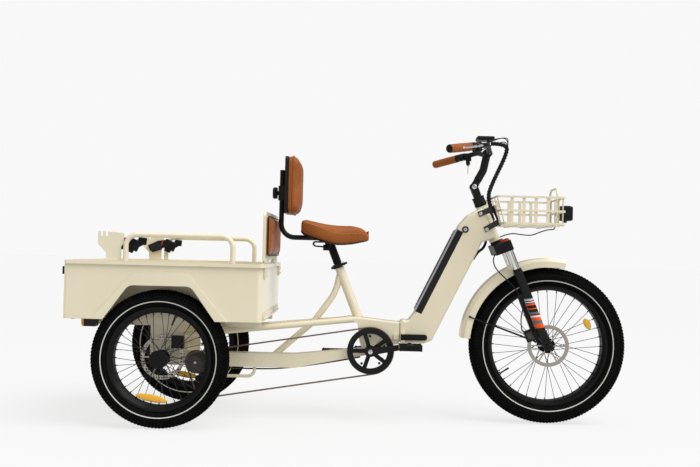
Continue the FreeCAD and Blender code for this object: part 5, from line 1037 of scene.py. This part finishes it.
chain_shape = bmesh.new()
chain_count = 2 * round(length_of(chain_line) / CHAIN_PITCH / 2)
exact = length_of(chain_line) / chain_count
pins = []
run = 0.0
for start, end in zip(chain_line, chain_line[1:]):
    step = (end - start).length
    while len(pins) < chain_count and step > 0 and run + step >= len(pins) * exact:
        pins.append(start.lerp(end, (len(pins) * exact - run) / step))
    run += step
for i, (pin, after) in enumerate(zip(pins, pins[1:] + pins[:1])):
    along = (after - pin).normalized()
    up = along.cross(ACROSS)
    rod(chain_shape, pin - ACROSS * 0.0038, pin + ACROSS * 0.0038, 1.9, 8)
    for y in ((-3.1, 3.1) if i % 2 else (-2.0, 2.0)):
        place = Matrix((along, ACROSS, up)).transposed().to_4x4()
        place.translation = (pin + after) / 2 + ACROSS * y / 1000
        link = bmesh.new()
        bmesh.ops.create_cube(link, size=0.001)
        bmesh.ops.scale(link, vec=(exact * 1000 + 6.4, 0.95, 6.2), verts=link.verts)
        ends = [e for e in link.edges if abs(e.verts[0].co.y - e.verts[1].co.y) > 0.0005]
        round_edges(link, ends, 0.0026)
        add(chain_shape, link, place)
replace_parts(piece("chain_links", chain_shape, chain_finish, "rear"), "chain")

# Drive details. Teeth and bolts on the chainring, teeth on the sprockets, bright caps on the
# crank arms, and reflectors and cleats on the pedals.
teeth = bmesh.new()
ring_centre = at(CRANK_X, CHAIN_Y, CRANK_Z)
for ray in rays(48):
    rod(teeth, ring_centre + ray * 0.0945, ring_centre + ray * 0.1005, 3.4, 6, 0.0, 1.4)
for ray in rays(5, math.radians(20)):
    bolt(teeth, at(CRANK_X, -64.2, CRANK_Z) + ray * 0.0645, (0, -1, 0), 4.2, 2.2)
piece("chainring_teeth", teeth, black_metal, "crank")

caps = bmesh.new()
for out in (1, -1):
    lathe(caps, [(0, 0), (9.5, 0), (9.5, 1.5), (7.5, 2.6), (3.6, 2.6), (3.0, 1.2), (0, 1.2)],
          at(CRANK_X, out * 100, CRANK_Z), (0, out, 0), 28)
piece("crank_caps", caps, steel, "crank")

sprocket_teeth = bmesh.new()
for y, radius, count in ((-62, 34, 15), (-69, 29, 13), (-48, 45, 20), (-41.5, 51, 22)):
    cog_centre = at(COG_X, y, COG_Z)
    for ray in rays(count):
        root = cog_centre + ray * (radius - 3) / 1000
        rod(sprocket_teeth, root, cog_centre + ray * (radius + 1.5) / 1000, 2.6, 6, 0.0, 1.0)
piece("sprocket_teeth", sprocket_teeth, dark_steel, "cassette")

pedal_trim = {"pedal_right": (-1, 1015.4, 328.5), "pedal_left": (1, 680.6, 269.5)}
for body, (out, x, z) in pedal_trim.items():
    marks = bmesh.new()
    cleats = bmesh.new()
    for way in (-1, 1):
        block(marks, at(x + way * 47.6, out * 154, z), (3.0, 54, 13), 0.001)
        for i in range(6):
            for lift in (12, -12):
                block(cleats, at(x + way * 44, out * (114 + i * 16), z + lift), (5, 6, 3.0), 0.0006)
    piece(body + "_reflectors", marks, amber, body)
    piece(body + "_cleats", cleats, plastic, body)

# Battery. A black pack let into the top of the down tube with a bright edge strip, a lid seam
# and a key lock beside its upper end.
PACK_FOOT = at(1033, 0, 463)
PACK_ALONG = Vector((0.436, 0, 0.9))
PACK_IN = Vector((0.9, 0, -0.436))
PACK_STRIP = 0.0015
LOCK = at(1249, -45, 835)
pack_finish = Finish("battery_shell", INK, 0.4, coat=0.05, specular=0.2)
depth = (pack_finish.axis("X") - PACK_FOOT.x) * PACK_IN.x + (pack_finish.axis("Z") - PACK_FOOT.z) * PACK_IN.z
strip = depth < PACK_STRIP
pack_finish.put("Base Color", pack_finish.mix(strip, INK, (0.45, 0.46, 0.47)))
pack_finish.put("Metallic", strip * 0.9)
pack_finish.bump(pack_finish.noise(500.0), 0.1, 0.0005, pack_finish.soft_edges(0.003))
coat(pack_finish, "battery")

lid = bmesh.new()
lid_foot = PACK_FOOT - PACK_IN * 0.0053
pack_turn = Matrix((PACK_ALONG, ACROSS, -PACK_IN)).transposed().to_4x4()
for run in (0.044, 0.386):
    block(lid, lid_foot + PACK_ALONG * run, (3, 86, 1.6), 0.0004, pack_turn)
block(lid, lid_foot + PACK_ALONG * 0.214, (318, 40, 1.4), 0.0005, pack_turn)
piece("battery_lid", lid, plastic, "front")
lock = bmesh.new()
lathe(lock, [(8.2, 0), (14.4, 0), (14.4, 3.4), (12.6, 5.4), (9.4, 5.4), (8.2, 3.0)], LOCK, (0, -1, 0), 40)
piece("lock_ring", lock, plastic, "front")
barrel = bmesh.new()
lathe(barrel, [(0, 3.6), (8.3, 3.6), (8.3, 4.6), (0, 4.9)], LOCK, (0, -1, 0), 32)
piece("lock_barrel", barrel, steel, "front")
slot_shape = bmesh.new()
block(slot_shape, LOCK - ACROSS * 0.0049, (1.6, 0.5, 8), 0.0002)
piece("lock_slot", slot_shape, plastic, "front")

# Basket. Flat cream bars welded into a slatted crate, on two black bracket plates that clamp
# the head; the square headlight hangs from a lug at its front.
basket_finish = paint("basket_cream", CREAM, CREAM_SHADE, 0.0012)
REAR_WALL_SLOPE = 0.2833
REAR_WALL_TOP = at(1362, 0, 978)
below = REAR_WALL_TOP.z - basket_finish.axis("Z")
behind = basket_finish.axis("X") - REAR_WALL_TOP.x - below * REAR_WALL_SLOPE
tone = basket_finish.mix(basket_finish.noise(5.0, 4.0), CREAM, CREAM_SHADE)
basket_finish.put("Base Color", basket_finish.mix(behind < -0.004, tone, (0.016, 0.016, 0.017)))
coat(basket_finish, "basket")
HEAD_TURN = Matrix.Rotation(-HEAD_LEAN, 4, "Y")
fixings = bmesh.new()
uprights = bmesh.new()
for out in (1, -1):
    for along in (566, 640):
        bolt(fixings, fork_at(-64, out * 49, along), (0, out, 0), 6.0, 3.4)
    block(uprights, fork_at(-6, out * 52, 606), (10, 7, 92), 0.0015, HEAD_TURN)
piece("basket_bolts", fixings, steel, "front")
piece("basket_uprights", uprights, black_metal, "front")

coat(plastic, "headlight")
lens_finish = Finish("lamp_lens", (0.62, 0.64, 0.66), 0.12, coat=1.0, coat_roughness=0.04)
lens_finish.bump(lens_finish.waves(60.0, "Y"), 0.5, 0.001)
LAMP_Z = 916
lens = bmesh.new()
block(lens, at(1715.6, 0, LAMP_Z), (3, 56, 46), 0.0012, None, 3)
piece("lamp_lens", lens, lens_finish, "headlight")
lamp_trim = bmesh.new()
for out in (-1, 1):
    block(lamp_trim, at(1715, 0, LAMP_Z + out * 27), (4.5, 66, 5), 0.0012)
    block(lamp_trim, at(1715, out * 31.5, LAMP_Z), (4.5, 5, 50), 0.0012)
for i in range(4):
    block(lamp_trim, at(1684 + i * 7, 0, 949), (3, 54, 2.4), 0.0006)
rod(lamp_trim, at(1690, 0, 884.5), at(1690, 0, 876), 8.0, 20, 0.001)
piece("lamp_trim", lamp_trim, plastic, "headlight")

# Fork. Black crown and legs with plain orange, white and grey bars, bright stanchions, red
# adjuster caps, a disc caliper behind the right leg and its brake hose.
def along_fork(finish):
    """Distance in metres up the fork from the front axle."""
    foot = fork_at(0, 0, 0)
    return (finish.axis("X") - foot.x) * fork_up.x + (finish.axis("Z") - foot.z) * fork_up.z


def off_centre(finish, reach):
    """1 where a point lies further from the centre plane than reach, in metres."""
    return finish.axis("Y") * finish.axis("Y") > reach ** 2


STANCHION_TOP = 0.4455
CAP_BASE = 0.4902
CAP_INNER = 0.05
LEG_INNER = 0.082
ORANGE = (0.8, 0.09, 0.01)
WHITE = (0.75, 0.75, 0.74)
LEG_BARS = ((0.098, 0.152, ORANGE), (0.116, 0.129, (0.1, 0.14, 0.15)), (0.143, 0.149, WHITE),
            (0.156, 0.164, (0.12, 0.16, 0.17)), (0.176, 0.18, ORANGE), (0.192, 0.2, ORANGE),
            (0.203, 0.207, WHITE), (0.211, 0.219, grey(0.5)))
crown_finish = Finish("fork_crown", INK, 0.45, specular=0.12)
up_fork = along_fork(crown_finish)
bright = up_fork < STANCHION_TOP
red = (up_fork > CAP_BASE) * off_centre(crown_finish, CAP_INNER)
tone = crown_finish.mix(bright, INK, (0.66, 0.66, 0.65))
crown_finish.put("Base Color", crown_finish.mix(red, tone, (0.62, 0.05, 0.02)))
crown_finish.put("Metallic", bright)
crown_finish.put("Roughness", 0.45 - bright * 0.31)
crown_finish.bump(crown_finish.noise(500.0), 0.05, 0.0004, crown_finish.soft_edges(0.002))
coat(crown_finish, "fork_crown")

legs_finish = Finish("fork_legs", INK, 0.38, coat=0.04, specular=0.14)
level = along_fork(legs_finish) + (legs_finish.axis("X") - fork_at(-10, 0, 160).x) * 0.25
outer_side = off_centre(legs_finish, LEG_INNER)
tone = INK
for low, high, colour in LEG_BARS:
    tone = legs_finish.mix((level > low) * (level < high) * outer_side, tone, colour)
legs_finish.put("Base Color", tone)
legs_finish.bump(legs_finish.noise(500.0), 0.08, 0.0005, legs_finish.soft_edges(0.003))
coat(legs_finish, "fork_lowers")

LEG_Y = 78
fork_trim = bmesh.new()
dropouts = bmesh.new()
for out in (1, -1):
    y = out * LEG_Y
    rod(fork_trim, fork_at(-10, y, 352), fork_at(-10, y, 362), 18.5, 32, 0.0012)
    rod(fork_trim, fork_at(-10, y, 497.6), fork_at(-10, y, 501), 12.0, 24, 0.001)
    bolt(dropouts, fork_at(0, y, 0), (0, out, 0), 10.0, 7.0)
    rod(dropouts, fork_at(0, y - out * 10, 0), fork_at(0, y + out, 0), 15.0, 32, 0.001)
piece("fork_seals", fork_trim, plastic, "lowers")
piece("dropout_nuts", dropouts, black_metal, "lowers")
caliper = bmesh.new()
block(caliper, fork_at(-58, -61.5, 71), (30, 6, 38), 0.002, HEAD_TURN, 3)
for along in (58, 84):
    bolt(caliper, fork_at(-58, -64.5, along), (0, -1, 0), 4.0, 3.0)
rod(caliper, fork_at(-76, -52, 92), fork_at(-82, -52, 108), 3.5, 16, 0.0006)
piece("front_caliper", caliper, dark_steel, "lowers")

brake_points = ((-52, -28, 462), (-84, -46, 446), (-96, -64, 400), (-70, -80, 340), (-40, -82, 270),
                (-42, -80, 200), (-74, -62, 150), (-81, -52, 107))
brake_hose = cable("brake_hose", route([fork_at(*point) for point in brake_points]), 0.0026, None)
fork_at(-60, -40, 440)
fork_at(-42, -80, 240)
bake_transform(brake_hose)

STAY_ANGLE = math.radians(161)
STAY_REACH = 0.362
stays = bmesh.new()
for out in (1, -1):
    high = at(FRONT_X, out * 56.5, FRONT_Z) + ray_at(STAY_ANGLE) * STAY_REACH
    rod(stays, high, fork_at(-25.5, out * 64, 20), 2.8, 12)
    rod(stays, high - ACROSS * 0.004, high + ACROSS * 0.004, 5.0, 16, 0.0008)
piece("fender_stays", stays, black_metal, "lowers")

# Stem. A black clamp on the steerer between two headset rings, an angle joint with a bright
# bolt on each side, and the upper arm with the bolts that clamp the bar.
coat(black_metal, "stem_base", "stem_upper")
joint = bmesh.new()
for out in (1, -1):
    lathe(joint, [(0, 0), (10.5, 0), (10.5, 2.2), (8.5, 3.4), (4.2, 3.4), (3.6, 1.6), (0, 1.6)],
          fork_at(-44, out * 23.6, 759), (0, out, 0), 28)
piece("stem_joint_bolts", joint, steel, "steer")
clamp_bolts = bmesh.new()
for y in (-18, 18):
    bolt(clamp_bolts, at(1362.5, y, 1172), (1, 0, 0), 4.2, 3.2)
    bolt(clamp_bolts, at(1342, y, 1192.2), (0, 0, 1), 4.2, 3.2)
piece("bar_clamp_bolts", clamp_bolts, steel, "stem")
headset = bmesh.new()
for along in (674, 706):
    lathe(headset, [(26.2, 0), (27.6, 0.8), (27.6, 5.2), (26.2, 6)], fork_at(-44, 0, along), fork_up, 44)
piece("headset_rings", headset, black_metal, "steer")

# Handlebar. A swept black bar with hand controls beside each grip, a display with a pale screen
# and bright brake levers; the ignition key hangs from the left control.
coat(black_metal, "handlebar")
coat(plastic, "throttle")
alloy = metal("polished_alloy", (0.72, 0.72, 0.73), 180.0, 0.2, 0.16)
coat(alloy, "brake_lever_left", "brake_lever_right")


def bar_at(out, along, ahead, above):
    """Row point by millimetres in from a bar end, then ahead of and above the grip's axis."""
    inward = Vector((180, -out * 186, 40)).normalized()
    front = Vector((-out * inward.y, out * inward.x, 0)).normalized()
    top = inward.cross(front) * out
    return at(1142, out * 350, 1151) + (inward * along + front * ahead + top * above) / 1000


def bar_turn(out):
    """Turns a block so that its length follows the grip."""
    inward = (bar_at(out, 1, 0, 0) - bar_at(out, 0, 0, 0)).normalized()
    top = (bar_at(out, 0, 0, 1) - bar_at(out, 0, 0, 0)).normalized()
    return Matrix((inward, top.cross(inward), top)).transposed().to_4x4()


for side, out in SIDES:
    controls = bmesh.new()
    rod(controls, bar_at(out, 139, 0, 0), bar_at(out, 144, 0, 0), 17.5, 32, 0.001)
    if side == "right":
        block(controls, bar_at(out, 188, -2, -4), (30, 34, 40), 0.004, bar_turn(out), 3)
        for i in range(3):
            block(controls, bar_at(out, 180 + i * 8, -20, -4), (6, 4, 7), 0.001, bar_turn(out))
    else:
        block(controls, bar_at(out, 206, -2, -8), (16, 30, 36), 0.004, bar_turn(out), 3)
        rod(controls, bar_at(out, 206, -6, -20), bar_at(out, 206, -8, -44), 9.5, 28, 0.0015)
    piece("hand_controls_" + side, controls, plastic, "stem")
    housing = bmesh.new()
    rod(housing, bar_at(out, 166, 20, 0), bar_at(out, 196, 24, 2), 6.0, 24, 0.001, 3.4)
    block(housing, bar_at(out, 160, 12, 0), (18, 12, 13), 0.003, bar_turn(out), 3)
    bolt(housing, bar_at(out, 158, 30, 9.5), (0, 0, 1), 3.4, 1.6)
    piece("lever_perch_" + side, housing, alloy if side == "right" else black_metal, "stem")

key = bmesh.new()
key_top = bar_at(1, 206, -8, -44)
rod(key, key_top, key_top + Vector((0, 0, -0.006)), 6.2, 24, 0.0008)
block(key, key_top + Vector((0, 0, -0.024)), (2.2, 7, 36), 0.0005)
brass = metal("brass", (0.55, 0.34, 0.13), 200.0, 0.25, 0.2)
piece("ignition_key", key, brass, "stem")

screen_finish = Finish("display_screen", (0.32, 0.36, 0.37), 0.1, coat=1.0, coat_roughness=0.03)
glass = screen_finish.mix(screen_finish.noise(40.0), (0.3, 0.34, 0.35), (0.36, 0.4, 0.41))
screen_finish.put("Base Color", glass)
screen = bmesh.new()
block(screen, at(1333, -8, 1244.2), (52, 62, 0.8), 0.0003)
piece("display_screen", screen, screen_finish, "stem")
display_keys = bmesh.new()
for i in range(3):
    block(display_keys, at(1300, -30 + i * 22, 1244.3), (8, 14, 1.2), 0.0004)
piece("display_keys", display_keys, plastic, "stem")

# Grips. Cognac leather sleeves, a little waisted, with a sewn seam underneath and black caps
# in the ends of the bar.
SLEEVE_PROFILE = [(11.2, 1), (17.0, 1), (17.7, 3), (17.2, 20), (17.9, 70), (17.2, 122), (17.6, 135),
                  (16.8, 138), (11.2, 138)]
CAP_PROFILE = [(0, -3.4), (12.0, -3.2), (15.6, -1.8), (16.2, 1.0), (11.0, 1.2), (0, 1.2)]
sleeve_shape = bmesh.new()
seam_shape = bmesh.new()
grip_caps = bmesh.new()
for out in (1, -1):
    inward = (bar_at(out, 1, 0, 0) - bar_at(out, 0, 0, 0)).normalized()
    lathe(sleeve_shape, SLEEVE_PROFILE, bar_at(out, 0, 0, 0), inward, 48)
    seam = [bar_at(out, 4 + i * 6.6, 0, -17.9) for i in range(21)]
    stitches(seam_shape, seam, 0.005, 3.4, 0.55)
    lathe(grip_caps, CAP_PROFILE, bar_at(out, 0, 0, 0), inward, 40)
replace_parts(piece("grip_sleeves", sleeve_shape, leather, "stem"), "grips")
piece("grip_stitching", seam_shape, thread, "stem")
piece("grip_caps", grip_caps, plastic, "stem")
